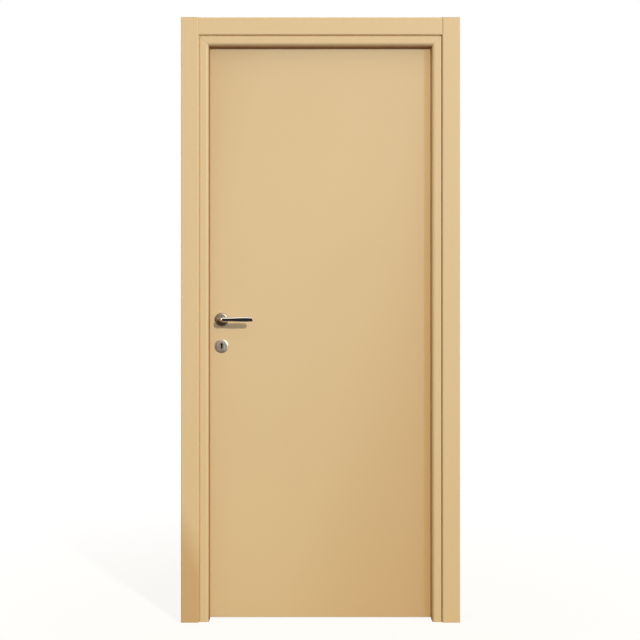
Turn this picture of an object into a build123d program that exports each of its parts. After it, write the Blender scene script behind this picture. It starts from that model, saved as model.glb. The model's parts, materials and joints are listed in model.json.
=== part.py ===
"""Interior door: a rebated flush leaf in a round-nosed frame, with casings, lever set, lock and hinges.

Units are millimetres and +Z is up. The push side faces -Y, and x runs from the lock side to the hinge side.
The origin is on the outer flat face of the hinge jamb, at floor level, in the middle of the frame's depth.
"""

import os

from build123d import *

os.makedirs("parts", exist_ok=True)

# Frame
HALF_OPENING = 405.0
JAMB_THICKNESS = 45.0
OPENING_HEIGHT = 2089.0
WALL_HALF = 42.5
BEAD_WIDTH = 33.5
BEAD_PROUD = 5.0
NOSE_RADIUS = 10.5
BEAD_OUTER_RADIUS = 4.0
STOP_Y = 1.5
REBATE_WIDTH = 15.0
REBATE_BACK = 33.5
SHOULDER_WIDTH = 29.0

# Casings
CASING_WIDTH = 64.5
CASING_THICKNESS = 12.0
CASING_ROUND = 4.5
FRONT_CASING_INSET = 35.5
BACK_CASING_INSET = 28.0
TONGUE_LENGTH = 20.0
TONGUE_THICKNESS = 4.0

# Leaf
LEAF_FRONT = 7.5
LEAF_THICKNESS = 44.0
LIP_THICKNESS = 12.0
SKIN = 4.0
BODY_HALF = 413.0
LIP_LAP = 14.0
LEAF_BOTTOM = 2.0
BODY_TOP = 2097.0
LOCK_STILE = 90.0
HINGE_STILE = 50.0
TOP_RAIL = 50.0
BOTTOM_RAIL = 80.0

# Lock
LEVER_HEIGHT = 1096.0
KEY_DROP = 91.0
BACKSET = 50.0
LOCK_Y = 23.5
PLATE_LENGTH = 240.0
PLATE_WIDTH = 22.0
PLATE_THICKNESS = 3.0
PLATE_DROP = 52.0
CASE_DEPTH = 75.0
CASE_HEIGHT = 165.0
CASE_THICKNESS = 15.0
LATCH_SIZE = (12.0, 28.0)
BOLT_SIZE = (8.0, 34.0)
BOLT_LENGTH = 32.0
BOLT_DROP = 10.0
STRIKE_WIDTH = 24.0
STRIKE_LENGTH = 200.0
STRIKE_Y = 20.5
STRIKE_THICKNESS = 2.0
SCREW_RADIUS = 2.2
SCREW_HEAD_RADIUS = 4.0

# Lever set
ROSE_RADIUS = 25.0
ROSE_THICKNESS = 9.0
ROSE_BORE = 8.5
NECK_RADIUS = 8.0
GRIP_OUT = 48.5
BEND = 17.0
SPINDLE = 8.0
GRIP_SECTIONS = (
    (17.0, 0.0, 7.4, 8.0),
    (42.0, 0.2, 6.9, 8.4),
    (76.0, 0.4, 6.5, 9.4),
    (100.0, 0.3, 6.1, 9.2),
    (118.0, 0.0, 5.4, 7.9),
)
TIP_ROUND = 3.4

# Key escutcheon
KEY_TOP_RADIUS = 3.7
KEY_SLOT_WIDTH = 4.8
KEY_FOOT_RADIUS = 3.1
KEY_FOOT_DROP = 14.0
ESCUTCHEON_DROP = 7.0

# Hinges
HINGE_HEIGHTS = (210.0, 1060.0, 1900.0)
HINGE_U = 436.0
HINGE_Y = 63.5
BARREL_RADIUS = 7.0
BARREL_LENGTH = 44.0
PIN_RADIUS = 3.0
PIN_CLEARANCE = 0.06
STEM_RADIUS = 3.5
STEM_LENGTH = 54.0
STEM_HEIGHT = 22.0
LEAF_STEM_ANGLE = 29.7

# Placing
HALF_WIDTH = HALF_OPENING + JAMB_THICKNESS
CX = -HALF_WIDTH
HEAD_SHIFT = OPENING_HEIGHT - HALF_OPENING
LEAF_BACK = LEAF_FRONT + LEAF_THICKNESS
LIP_FRONT = LEAF_BACK - LIP_THICKNESS
LIP_HALF = BODY_HALF + LIP_LAP
LIP_TOP = BODY_TOP + LIP_LAP
INNER_FRONT = LEAF_FRONT + SKIN
INNER_BACK = LEAF_BACK - SKIN
INNER_MID = (INNER_FRONT + INNER_BACK) / 2
INNER_DEPTH = INNER_BACK - INNER_FRONT
BEAD_FRONT = -WALL_HALF - BEAD_PROUD
LOCK_EDGE = CX - BODY_HALF
LEVER_X = LOCK_EDGE + BACKSET
KEY_HEIGHT = LEVER_HEIGHT - KEY_DROP
PLATE_HEIGHT = LEVER_HEIGHT - PLATE_DROP
BOLT_HEIGHT = KEY_HEIGHT - BOLT_DROP
HINGE_X = CX + HINGE_U

HEAD_PLANE = Plane(origin=(CX + HALF_WIDTH, 0, HEAD_SHIFT), x_dir=(0, 0, 1), z_dir=(-1, 0, 0))
MITRE_HINGE = Plane(origin=(CX + HALF_OPENING, 0, OPENING_HEIGHT), z_dir=(-1, 0, 1))
MITRE_LATCH = Plane(origin=(CX - HALF_OPENING, 0, OPENING_HEIGHT), z_dir=(1, 0, 1))
STEM_WAY = Vector(-1, 0, 0).rotate(Axis.Z, LEAF_STEM_ANGLE)
STEM_PLANES = [
    Plane(origin=(HINGE_X, HINGE_Y, height + STEM_HEIGHT), x_dir=(0, 0, 1), z_dir=STEM_WAY)
    for height in HINGE_HEIGHTS
]

# Sections are given as distance from the door's centre line, then depth
NOSE_OUTER = HALF_OPENING + BEAD_WIDTH
REBATE_SIDE = HALF_OPENING + REBATE_WIDTH
SHOULDER = HALF_OPENING + SHOULDER_WIDTH
GROOVE_IN = NOSE_OUTER + 2.8
GROOVE_OUT = GROOVE_IN + TONGUE_THICKNESS + 0.4
GROOVE_END = WALL_HALF - TONGUE_LENGTH - 2.0
SEAL_IN = HALF_OPENING + 5.0
SEAL_OUT = SEAL_IN + 4.0
SEAL_DEEP = STOP_Y - 5.0

JAMB_SECTION = [
    (REBATE_SIDE, -WALL_HALF),
    (GROOVE_IN, -WALL_HALF),
    (GROOVE_IN, -GROOVE_END),
    (GROOVE_OUT, -GROOVE_END),
    (GROOVE_OUT, -WALL_HALF),
    (HALF_WIDTH, -WALL_HALF),
    (HALF_WIDTH, WALL_HALF),
    (GROOVE_OUT, WALL_HALF),
    (GROOVE_OUT, GROOVE_END),
    (GROOVE_IN, GROOVE_END),
    (GROOVE_IN, WALL_HALF),
    (SHOULDER, WALL_HALF),
    (SHOULDER, REBATE_BACK),
    (REBATE_SIDE, REBATE_BACK),
]

STOP_SECTION = [
    (HALF_OPENING, STOP_Y),
    (HALF_OPENING, BEAD_FRONT),
    (NOSE_OUTER, BEAD_FRONT),
    (NOSE_OUTER, -WALL_HALF),
    (REBATE_SIDE, -WALL_HALF),
    (REBATE_SIDE, STOP_Y),
    (SEAL_OUT, STOP_Y),
    (SEAL_OUT, SEAL_DEEP),
    (SEAL_IN, SEAL_DEEP),
    (SEAL_IN, STOP_Y),
]

SEAL_SECTION = [
    (SEAL_IN, SEAL_DEEP),
    (SEAL_OUT, SEAL_DEEP),
    (SEAL_OUT, STOP_Y),
    (SEAL_OUT - 0.8, STOP_Y + 1.0),
    (SEAL_IN + 0.8, STOP_Y + 1.0),
    (SEAL_IN, STOP_Y),
]

# Corners of each section that are rounded, with their radius
FRAME_SECTIONS = (
    ("jamb", JAMB_SECTION, ((REBATE_SIDE, REBATE_BACK, 2.0),)),
    (
        "stop",
        STOP_SECTION,
        (
            (HALF_OPENING, BEAD_FRONT, NOSE_RADIUS),
            (NOSE_OUTER, BEAD_FRONT, BEAD_OUTER_RADIUS),
            (HALF_OPENING, STOP_Y, 1.5),
        ),
    ),
    ("seal", SEAL_SECTION, ()),
)


def corner(sketch, x, y):
    """Give the sketch corner nearest to a place on the section."""
    return sketch.vertices().sort_by_distance(Vertex(x, y, 0))[0]


def toward(facing, x, y, z):
    """Give a plane that looks out from the leaf's front (-1) or back (1), with its own y up."""
    return Plane(origin=(x, y, z), x_dir=(-facing, 0, 0), z_dir=(0, facing, 0))


# Jambs, stops and seals: one section each, run up both sides and across the head, mitred at the corners
for kind, section, rounds in FRAME_SECTIONS:
    for side, place, mitre in ((1, "hinge", MITRE_HINGE), (-1, "latch", MITRE_LATCH)):
        with BuildPart() as upright:
            with BuildSketch(Plane.XY) as outline:
                Polygon(*[(CX + side * u, y) for u, y in section], align=None)
                for u, y, radius in rounds:
                    fillet(corner(outline, CX + side * u, y), radius)
            extrude(amount=OPENING_HEIGHT + JAMB_THICKNESS)
            split(bisect_by=mitre, keep=Keep.BOTTOM)
            if kind == "jamb" and place == "hinge":
                for height in HINGE_HEIGHTS:
                    with BuildSketch(Plane.XZ.offset(-WALL_HALF)):
                        with Locations((HINGE_X, height - STEM_HEIGHT)):
                            Circle(STEM_RADIUS + 0.1)
                    extrude(amount=60, mode=Mode.SUBTRACT)
            if kind == "jamb" and place == "latch":
                with BuildSketch(Plane.YZ.offset(CX - REBATE_SIDE)):
                    with Locations((STRIKE_Y, PLATE_HEIGHT)):
                        SlotOverall(STRIKE_LENGTH, STRIKE_WIDTH, rotation=90)
                extrude(amount=-STRIKE_THICKNESS, mode=Mode.SUBTRACT)
                with BuildSketch(Plane.YZ.offset(CX - REBATE_SIDE)):
                    with Locations((LOCK_Y, LEVER_HEIGHT)):
                        Rectangle(LATCH_SIZE[0] + 3, LATCH_SIZE[1] + 8)
                    with Locations((LOCK_Y, BOLT_HEIGHT)):
                        Rectangle(BOLT_SIZE[0] + 5, BOLT_SIZE[1] + 6)
                extrude(amount=-18, mode=Mode.SUBTRACT)
        upright.part.label = f"{place}_{kind}"
        export_step(upright.part, f"parts/{place}_{kind}.step")

    with BuildPart() as head:
        with BuildSketch(HEAD_PLANE) as outline:
            Polygon(*section, align=None)
            for u, y, radius in rounds:
                fillet(corner(outline, u, y), radius)
        extrude(amount=2 * HALF_WIDTH)
        split(bisect_by=MITRE_HINGE, keep=Keep.TOP)
        split(bisect_by=MITRE_LATCH, keep=Keep.TOP)
    head.part.label = f"head_{kind}"
    export_step(head.part, f"parts/head_{kind}.step")

# Casings: full-height uprights, with the head casing butted between them and a tongue into the jamb
for name, facing, inset in (("front", -1, FRONT_CASING_INSET), ("back", 1, BACK_CASING_INSET)):
    inner = HALF_OPENING + inset
    outer = inner + CASING_WIDTH
    root = facing * WALL_HALF
    face = facing * (WALL_HALF + CASING_THICKNESS)
    tongue_end = facing * (WALL_HALF - TONGUE_LENGTH)
    tongue_in = GROOVE_IN + 0.2
    tongue_out = tongue_in + TONGUE_THICKNESS
    board = [(inner, root), (inner, face), (outer, face), (outer, root)]
    tongue = [(tongue_in, root), (tongue_out, root), (tongue_out, tongue_end), (tongue_in, tongue_end)]

    for side, place in ((1, "hinge"), (-1, "latch")):
        with BuildPart() as casing:
            with BuildSketch(Plane.XY) as outline:
                Polygon(*[(CX + side * u, y) for u, y in board], align=None)
                fillet(corner(outline, CX + side * inner, face), CASING_ROUND)
                fillet(corner(outline, CX + side * outer, face), CASING_ROUND)
            extrude(amount=HEAD_SHIFT + outer)
            with BuildSketch(Plane.XY):
                Polygon(*[(CX + side * u, y) for u, y in tongue], align=None)
            extrude(amount=OPENING_HEIGHT + inset)
            if name == "back" and place == "hinge":
                for height in HINGE_HEIGHTS:
                    with BuildSketch(Plane.XZ.offset(-face)):
                        with Locations((HINGE_X, height - STEM_HEIGHT)):
                            Circle(STEM_RADIUS + 0.3)
                    extrude(amount=CASING_THICKNESS + TONGUE_LENGTH, mode=Mode.SUBTRACT)
        casing.part.label = f"{name}_casing_{place}"
        export_step(casing.part, f"parts/{name}_casing_{place}.step")

    across = Plane(origin=(CX + inner, 0, HEAD_SHIFT), x_dir=(0, 0, 1), z_dir=(-1, 0, 0))
    with BuildPart() as casing:
        with BuildSketch(across) as outline:
            Polygon(*board, align=None)
            fillet(corner(outline, inner, face), CASING_ROUND)
            fillet(corner(outline, outer, face), CASING_ROUND)
        extrude(amount=2 * inner)
        with BuildSketch(across):
            Polygon(*tongue, align=None)
        extrude(amount=2 * inner)
    casing.part.label = f"{name}_casing_head"
    export_step(casing.part, f"parts/{name}_casing_head.step")

# Strike plate, let into the latch jamb
STRIKE_X = CX - REBATE_SIDE
with BuildPart() as strike_plate:
    with BuildSketch(Plane.YZ.offset(STRIKE_X)):
        with Locations((STRIKE_Y, PLATE_HEIGHT)):
            SlotOverall(STRIKE_LENGTH, STRIKE_WIDTH, rotation=90)
        with Locations((LOCK_Y, LEVER_HEIGHT)):
            RectangleRounded(LATCH_SIZE[0] + 1, LATCH_SIZE[1] + 4, 1.5, mode=Mode.SUBTRACT)
        with Locations((LOCK_Y, BOLT_HEIGHT)):
            RectangleRounded(BOLT_SIZE[0] + 3, BOLT_SIZE[1] + 4, 1.5, mode=Mode.SUBTRACT)
        with Locations((STRIKE_Y, PLATE_HEIGHT + 86), (STRIKE_Y, PLATE_HEIGHT - 86)):
            Circle(SCREW_RADIUS, mode=Mode.SUBTRACT)
    extrude(amount=-STRIKE_THICKNESS)
strike_plate.part.label = "strike_plate"
export_step(strike_plate.part, "parts/strike_plate.step")

# Hinges: the frame half carries the pin, the leaf half turns on it
for number, height in enumerate(HINGE_HEIGHTS, start=1):
    with BuildPart() as frame_half:
        with BuildSketch(Plane.XY.offset(height - BARREL_LENGTH - 1)):
            with Locations((HINGE_X, HINGE_Y)):
                Circle(BARREL_RADIUS)
        extrude(amount=BARREL_LENGTH)
        fillet(frame_half.faces().sort_by(Axis.Z)[0].edges(), 3.5)
        with BuildSketch(Plane.XY.offset(height - 1)):
            with Locations((HINGE_X, HINGE_Y)):
                Circle(BARREL_RADIUS - 1.2)
        extrude(amount=1.6)
        with BuildSketch(Plane.XY.offset(height)):
            with Locations((HINGE_X, HINGE_Y)):
                Circle(PIN_RADIUS)
        extrude(amount=34)
        with BuildSketch(Plane.XZ.offset(-HINGE_Y)):
            with Locations((HINGE_X, height - STEM_HEIGHT)):
                Circle(STEM_RADIUS)
        extrude(amount=STEM_LENGTH)
    frame_half.part.label = f"hinge_frame_{number}"
    export_step(frame_half.part, f"parts/hinge_frame_{number}.step")

    with BuildPart() as leaf_half:
        with BuildSketch(Plane.XY.offset(height + 1)):
            with Locations((HINGE_X, HINGE_Y)):
                Circle(BARREL_RADIUS)
        extrude(amount=BARREL_LENGTH)
        fillet(leaf_half.faces().sort_by(Axis.Z)[-1].edges(), 3.5)
        with BuildSketch(STEM_PLANES[number - 1]):
            Circle(STEM_RADIUS)
        extrude(amount=STEM_LENGTH)
        with BuildSketch(Plane.XY.offset(height + 1)):
            with Locations((HINGE_X, HINGE_Y)):
                Circle(PIN_RADIUS + PIN_CLEARANCE)
        extrude(amount=36, mode=Mode.SUBTRACT)
    leaf_half.part.label = f"hinge_leaf_{number}"
    export_step(leaf_half.part, f"parts/hinge_leaf_{number}.step")

# Skins: the front one covers the body, the back one also covers the lip
with BuildPart() as front_skin:
    with BuildSketch(Plane.XZ.offset(-INNER_FRONT)):
        with Locations((CX, (BODY_TOP + LEAF_BOTTOM) / 2)):
            Rectangle(2 * BODY_HALF, BODY_TOP - LEAF_BOTTOM)
        with Locations((LEVER_X, LEVER_HEIGHT)):
            Circle(9.5, mode=Mode.SUBTRACT)
        with Locations((LEVER_X, KEY_HEIGHT - 6)):
            RectangleRounded(12, 30, 4, mode=Mode.SUBTRACT)
    extrude(amount=SKIN)
    fillet(front_skin.faces().sort_by(Axis.Y)[0].outer_wire().edges(), 1.5)
front_skin.part.label = "front_skin"
export_step(front_skin.part, "parts/front_skin.step")

with BuildPart() as back_skin:
    with BuildSketch(Plane.XZ.offset(-LEAF_BACK)):
        with Locations((CX, (LIP_TOP + LEAF_BOTTOM) / 2)):
            Rectangle(2 * LIP_HALF, LIP_TOP - LEAF_BOTTOM)
        with Locations((LEVER_X, LEVER_HEIGHT)):
            Circle(9.5, mode=Mode.SUBTRACT)
        with Locations((LEVER_X, KEY_HEIGHT - 6)):
            RectangleRounded(12, 30, 4, mode=Mode.SUBTRACT)
    extrude(amount=SKIN)
    fillet(back_skin.faces().sort_by(Axis.Y)[-1].outer_wire().edges(), 2.5)
    for plane in STEM_PLANES:
        with BuildSketch(plane):
            Circle(STEM_RADIUS + 0.1)
        extrude(amount=STEM_LENGTH + 1, mode=Mode.SUBTRACT)
back_skin.part.label = "back_skin"
export_step(back_skin.part, "parts/back_skin.step")

# Lip strips round three edges, behind the back skin
LIP_MID = (LIP_FRONT + INNER_BACK) / 2
LIP_DEPTH = INNER_BACK - LIP_FRONT
for side, place in ((1, "hinge"), (-1, "latch")):
    with BuildPart() as lip:
        with Locations((CX + side * (BODY_HALF + LIP_LAP / 2), LIP_MID, (LIP_TOP + LEAF_BOTTOM) / 2)):
            Box(LIP_LAP, LIP_DEPTH, LIP_TOP - LEAF_BOTTOM)
        if side == 1:
            for plane in STEM_PLANES:
                with BuildSketch(plane):
                    Circle(STEM_RADIUS + 0.1)
                extrude(amount=STEM_LENGTH + 1, mode=Mode.SUBTRACT)
    lip.part.label = f"lip_{place}"
    export_step(lip.part, f"parts/lip_{place}.step")

with BuildPart() as lip_top:
    with Locations((CX, LIP_MID, BODY_TOP + LIP_LAP / 2)):
        Box(2 * BODY_HALF, LIP_DEPTH, LIP_LAP)
lip_top.part.label = "lip_top"
export_step(lip_top.part, "parts/lip_top.step")

# Stiles, rails and core between the skins
with BuildPart() as hinge_stile:
    with Locations((CX + BODY_HALF - HINGE_STILE / 2, INNER_MID, (BODY_TOP + LEAF_BOTTOM) / 2)):
        Box(HINGE_STILE, INNER_DEPTH, BODY_TOP - LEAF_BOTTOM)
    for plane in STEM_PLANES:
        with BuildSketch(plane):
            Circle(STEM_RADIUS + 0.1)
        extrude(amount=STEM_LENGTH + 1, mode=Mode.SUBTRACT)
hinge_stile.part.label = "hinge_stile"
export_step(hinge_stile.part, "parts/hinge_stile.step")

with BuildPart() as lock_stile:
    with Locations((LOCK_EDGE + LOCK_STILE / 2, INNER_MID, (BODY_TOP + LEAF_BOTTOM) / 2)):
        Box(LOCK_STILE, INNER_DEPTH, BODY_TOP - LEAF_BOTTOM)
    with BuildSketch(Plane.YZ.offset(LOCK_EDGE)):
        with Locations((LOCK_Y, PLATE_HEIGHT)):
            SlotOverall(PLATE_LENGTH, PLATE_WIDTH, rotation=90)
    extrude(amount=PLATE_THICKNESS, mode=Mode.SUBTRACT)
    with BuildSketch(Plane.YZ.offset(LOCK_EDGE)):
        with Locations((LOCK_Y, PLATE_HEIGHT)):
            Rectangle(CASE_THICKNESS, CASE_HEIGHT)
    extrude(amount=PLATE_THICKNESS + CASE_DEPTH, mode=Mode.SUBTRACT)
    with BuildSketch(Plane.XZ.offset(-INNER_BACK)):
        with Locations((LEVER_X, LEVER_HEIGHT)):
            Circle(9.5)
        with Locations((LEVER_X, KEY_HEIGHT - 6)):
            RectangleRounded(12, 30, 4)
    extrude(amount=INNER_DEPTH, mode=Mode.SUBTRACT)
lock_stile.part.label = "lock_stile"
export_step(lock_stile.part, "parts/lock_stile.step")

RAIL_LEFT = LOCK_EDGE + LOCK_STILE
RAIL_RIGHT = CX + BODY_HALF - HINGE_STILE
RAIL_MID = (RAIL_LEFT + RAIL_RIGHT) / 2
CORE_LOW = LEAF_BOTTOM + BOTTOM_RAIL
CORE_HIGH = BODY_TOP - TOP_RAIL
for label, low, high in (
    ("bottom_rail", LEAF_BOTTOM, CORE_LOW),
    ("core", CORE_LOW, CORE_HIGH),
    ("top_rail", CORE_HIGH, BODY_TOP),
):
    with BuildPart() as filling:
        with Locations((RAIL_MID, INNER_MID, (low + high) / 2)):
            Box(RAIL_RIGHT - RAIL_LEFT, INNER_DEPTH, high - low)
    filling.part.label = label
    export_step(filling.part, f"parts/{label}.step")

# Lock: faceplate, case, and both bolts drawn back flush
with BuildPart() as lock_faceplate:
    with BuildSketch(Plane.YZ.offset(LOCK_EDGE)):
        with Locations((LOCK_Y, PLATE_HEIGHT)):
            SlotOverall(PLATE_LENGTH, PLATE_WIDTH, rotation=90)
        with Locations((LOCK_Y, LEVER_HEIGHT)):
            Rectangle(LATCH_SIZE[0] + 0.4, LATCH_SIZE[1] + 0.4, mode=Mode.SUBTRACT)
        with Locations((LOCK_Y, BOLT_HEIGHT)):
            Rectangle(BOLT_SIZE[0] + 0.4, BOLT_SIZE[1] + 0.4, mode=Mode.SUBTRACT)
        with Locations((LOCK_Y, PLATE_HEIGHT + 106), (LOCK_Y, PLATE_HEIGHT - 106)):
            Circle(SCREW_RADIUS, mode=Mode.SUBTRACT)
    extrude(amount=PLATE_THICKNESS)
lock_faceplate.part.label = "lock_faceplate"
export_step(lock_faceplate.part, "parts/lock_faceplate.step")

with BuildPart() as lock_case:
    with Locations((LOCK_EDGE + PLATE_THICKNESS + CASE_DEPTH / 2, LOCK_Y, PLATE_HEIGHT)):
        Box(CASE_DEPTH, CASE_THICKNESS, CASE_HEIGHT)
    with BuildSketch(Plane.YZ.offset(LOCK_EDGE)):
        with Locations((LOCK_Y, LEVER_HEIGHT)):
            Rectangle(LATCH_SIZE[0] + 0.4, LATCH_SIZE[1] + 0.4)
        with Locations((LOCK_Y, BOLT_HEIGHT)):
            Rectangle(BOLT_SIZE[0] + 0.4, BOLT_SIZE[1] + 0.4)
    extrude(amount=BOLT_LENGTH + 0.5, mode=Mode.SUBTRACT)
    with BuildSketch(Plane.XZ.offset(-LOCK_Y)):
        with Locations((LEVER_X, LEVER_HEIGHT)):
            Circle(7)
        with Locations((LEVER_X, KEY_HEIGHT)):
            Circle(KEY_TOP_RADIUS + 0.8)
        with Locations((LEVER_X, KEY_HEIGHT - 9)):
            Rectangle(KEY_SLOT_WIDTH + 2, 18)
    extrude(amount=CASE_THICKNESS, both=True, mode=Mode.SUBTRACT)
lock_case.part.label = "lock_case"
export_step(lock_case.part, "parts/lock_case.step")

for label, height, size in (("latch_bolt", LEVER_HEIGHT, LATCH_SIZE), ("dead_bolt", BOLT_HEIGHT, BOLT_SIZE)):
    with BuildPart() as bolt:
        with BuildSketch(Plane.YZ.offset(LOCK_EDGE)):
            with Locations((LOCK_Y, height)):
                RectangleRounded(*size, 0.8)
        extrude(amount=BOLT_LENGTH)
    bolt.part.label = label
    export_step(bolt.part, f"parts/{label}.step")

# Rosettes and key escutcheons on both faces
for name, facing, face in (("front", -1, LEAF_FRONT), ("back", 1, LEAF_BACK)):
    with BuildPart() as rosette:
        with BuildSketch(Plane(origin=(LEVER_X, face, LEVER_HEIGHT), x_dir=(1, 0, 0), z_dir=(0, 0, facing))):
            with BuildLine():
                Polyline((ROSE_RADIUS, 2.5), (ROSE_RADIUS, 0), (ROSE_BORE, 0), (ROSE_BORE, ROSE_THICKNESS))
                Line((ROSE_BORE, ROSE_THICKNESS), (ROSE_RADIUS - 7.5, ROSE_THICKNESS))
                ThreePointArc(
                    (ROSE_RADIUS - 7.5, ROSE_THICKNESS),
                    (ROSE_RADIUS - 2.4, ROSE_THICKNESS - 2.0),
                    (ROSE_RADIUS, 2.5),
                )
            make_face()
        revolve(axis=Axis((LEVER_X, face, LEVER_HEIGHT), (0, 1, 0)))
    rosette.part.label = f"rosette_{name}"
    export_step(rosette.part, f"parts/rosette_{name}.step")

    plate_height = KEY_HEIGHT - ESCUTCHEON_DROP
    with BuildPart() as escutcheon:
        with BuildSketch(Plane(origin=(LEVER_X, face, plate_height), x_dir=(1, 0, 0), z_dir=(0, 0, facing))):
            with BuildLine():
                Polyline((ROSE_RADIUS, 1.8), (ROSE_RADIUS, 0), (0, 0), (0, 5.6), (18.5, 5.6), (19.0, 5.0))
                ThreePointArc((19.0, 5.0), (23.4, 4.0), (ROSE_RADIUS, 1.8))
            make_face()
        revolve(axis=Axis((LEVER_X, face, plate_height), (0, 1, 0)))
        with BuildSketch(toward(facing, LEVER_X, face, plate_height)):
            Ellipse(11, 16.5)
        extrude(amount=7.2)
        fillet(escutcheon.faces().sort_by(Axis.Y)[0 if facing == -1 else -1].edges(), 0.8)
        with BuildSketch(Plane.XZ.offset(-face)):
            with Locations((LEVER_X, KEY_HEIGHT)):
                Circle(KEY_TOP_RADIUS)
            with Locations((LEVER_X, KEY_HEIGHT - KEY_FOOT_DROP / 2)):
                Rectangle(KEY_SLOT_WIDTH, KEY_FOOT_DROP)
            with Locations((LEVER_X, KEY_HEIGHT - KEY_FOOT_DROP)):
                Circle(KEY_FOOT_RADIUS)
        extrude(amount=12, both=True, mode=Mode.SUBTRACT)
    escutcheon.part.label = f"key_escutcheon_{name}"
    export_step(escutcheon.part, f"parts/key_escutcheon_{name}.step")

# Levers: a round neck, a tight bend, and an oval grip that swells towards its end
for name, facing, face in (("front", -1, LEAF_FRONT), ("back", 1, LEAF_BACK)):
    base = face + facing * 1.0
    out = face + facing * GRIP_OUT
    bend_start = out - facing * BEND
    start, sag, half_depth, half_height = GRIP_SECTIONS[0]
    neck_plane = toward(facing, LEVER_X, bend_start, LEVER_HEIGHT)
    grip_plane = Plane(origin=(LEVER_X + start, out, LEVER_HEIGHT), x_dir=(0, -facing, 0), z_dir=(1, 0, 0))
    with BuildPart() as lever:
        with BuildSketch(neck_plane):
            Circle(NECK_RADIUS)
        extrude(amount=-abs(bend_start - base))
        with BuildLine() as bend:
            RadiusArc(
                (LEVER_X, bend_start, LEVER_HEIGHT),
                (LEVER_X + BEND, out, LEVER_HEIGHT),
                facing * BEND,
            )
        with BuildSketch(neck_plane):
            Circle(NECK_RADIUS)
        with BuildSketch(grip_plane):
            Ellipse(half_depth, half_height)
        sweep(path=bend.line, multisection=True)
        for reach, sag, half_depth, half_height in GRIP_SECTIONS:
            with BuildSketch(
                Plane(origin=(LEVER_X + reach, out, LEVER_HEIGHT + sag), x_dir=(0, -facing, 0), z_dir=(1, 0, 0))
            ):
                Ellipse(half_depth, half_height)
        loft()
        fillet(lever.faces().sort_by(Axis.X)[-1].edges(), TIP_ROUND)
        with Locations((LEVER_X, base + facing * 10, LEVER_HEIGHT)):
            Box(SPINDLE + 0.1, 22, SPINDLE + 0.1, mode=Mode.SUBTRACT)
    lever.part.label = f"lever_{name}"
    export_step(lever.part, f"parts/lever_{name}.step")

with BuildPart() as spindle:
    with Locations((LEVER_X, (LEAF_FRONT + LEAF_BACK) / 2, LEVER_HEIGHT)):
        Box(SPINDLE, LEAF_THICKNESS + 38, SPINDLE)
spindle.part.label = "spindle"
export_step(spindle.part, "parts/spindle.step")
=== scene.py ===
import json
import math

import bmesh
import bpy
from bpy.props import FloatProperty, FloatVectorProperty, IntProperty, PointerProperty
from bpy.types import Operator, Panel, PropertyGroup
from mathutils import Matrix, Vector

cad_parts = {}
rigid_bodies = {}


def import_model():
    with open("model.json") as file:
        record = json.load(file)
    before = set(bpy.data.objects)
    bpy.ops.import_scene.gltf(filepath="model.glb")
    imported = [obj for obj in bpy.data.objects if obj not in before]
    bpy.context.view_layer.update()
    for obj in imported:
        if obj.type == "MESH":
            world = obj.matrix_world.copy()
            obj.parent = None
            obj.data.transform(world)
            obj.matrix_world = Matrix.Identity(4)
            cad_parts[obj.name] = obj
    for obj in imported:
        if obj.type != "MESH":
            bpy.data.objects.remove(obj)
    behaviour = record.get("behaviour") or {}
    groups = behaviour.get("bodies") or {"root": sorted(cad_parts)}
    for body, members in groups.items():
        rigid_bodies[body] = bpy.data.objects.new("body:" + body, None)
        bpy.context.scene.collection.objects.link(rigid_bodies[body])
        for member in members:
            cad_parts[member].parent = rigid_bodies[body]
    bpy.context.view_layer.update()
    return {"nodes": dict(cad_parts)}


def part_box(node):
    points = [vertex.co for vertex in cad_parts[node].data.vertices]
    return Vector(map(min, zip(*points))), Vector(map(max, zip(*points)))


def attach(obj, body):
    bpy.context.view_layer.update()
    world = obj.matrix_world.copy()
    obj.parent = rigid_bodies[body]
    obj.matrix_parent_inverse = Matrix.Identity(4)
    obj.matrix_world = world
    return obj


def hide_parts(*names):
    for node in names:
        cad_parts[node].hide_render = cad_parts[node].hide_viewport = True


bl_info = {
    "name": "Interior Door",
    "version": (1, 0, 0),
    "blender": (4, 5, 0),
    "location": "3D View > Sidebar > Door",
    "description": "Builds the visible pieces of a flush interior door around its packed frame",
    "category": "Object",
}

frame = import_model()

SKIN_LOW, SKIN_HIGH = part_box("front_skin")
LIP_LOW, LIP_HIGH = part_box("back_skin")
STOP_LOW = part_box("latch_stop")[0]
FACEPLATE_LOW, FACEPLATE_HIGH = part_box("lock_faceplate")
STRIKE_LOW, STRIKE_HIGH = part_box("strike_plate")
CENTRE_X = (SKIN_LOW.x + SKIN_HIGH.x) / 2
UP = Vector((0.0, 0.0, 1.0))
ACROSS = Vector((1.0, 0.0, 0.0))

# The leaf's two faces as (name, the way it looks, its depth), and the frame's two uprights as (way, name)
FACES = (("front", -1, SKIN_LOW.y), ("back", 1, LIP_HIGH.y))
SIDES = ((-1, "latch"), (1, "hinge"))

# Steps of arcs and turned pieces, and the angles in degrees from which an edge stays sharp
ARC_STEPS = 8
TURN_STEPS = 96
SHARP_FROM = 32
TURNED_SHARP_FROM = 28
LEVER_SHARP_FROM = 40

# Painted shade on the lacquer of leaf and casings: the way along which it drifts, and its depth at places from 0 to
# 1 along that way
LEAF_SHADE_WAY = (0.967, 0.0, -0.2535)
LEAF_SHADE_WAY_FROM = (CENTRE_X - 0.057, 1.608)
LEAF_SHADE_TONES = ((0.0, 0.0), (0.28, 0.28), (0.38, 0.0), (0.55, 0.0), (0.66, 0.10), (0.80, 0.44), (1.0, 0.70))
# The casings' painted shade darkens the lock side's casing towards its foot
CASING_SHADE_WAY = (-0.9, 0.0, -0.45)
CASING_SHADE_TONES = ((0.0, 0.0), (0.625, 0.0), (0.665, 0.75), (1.0, 0.85))
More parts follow.
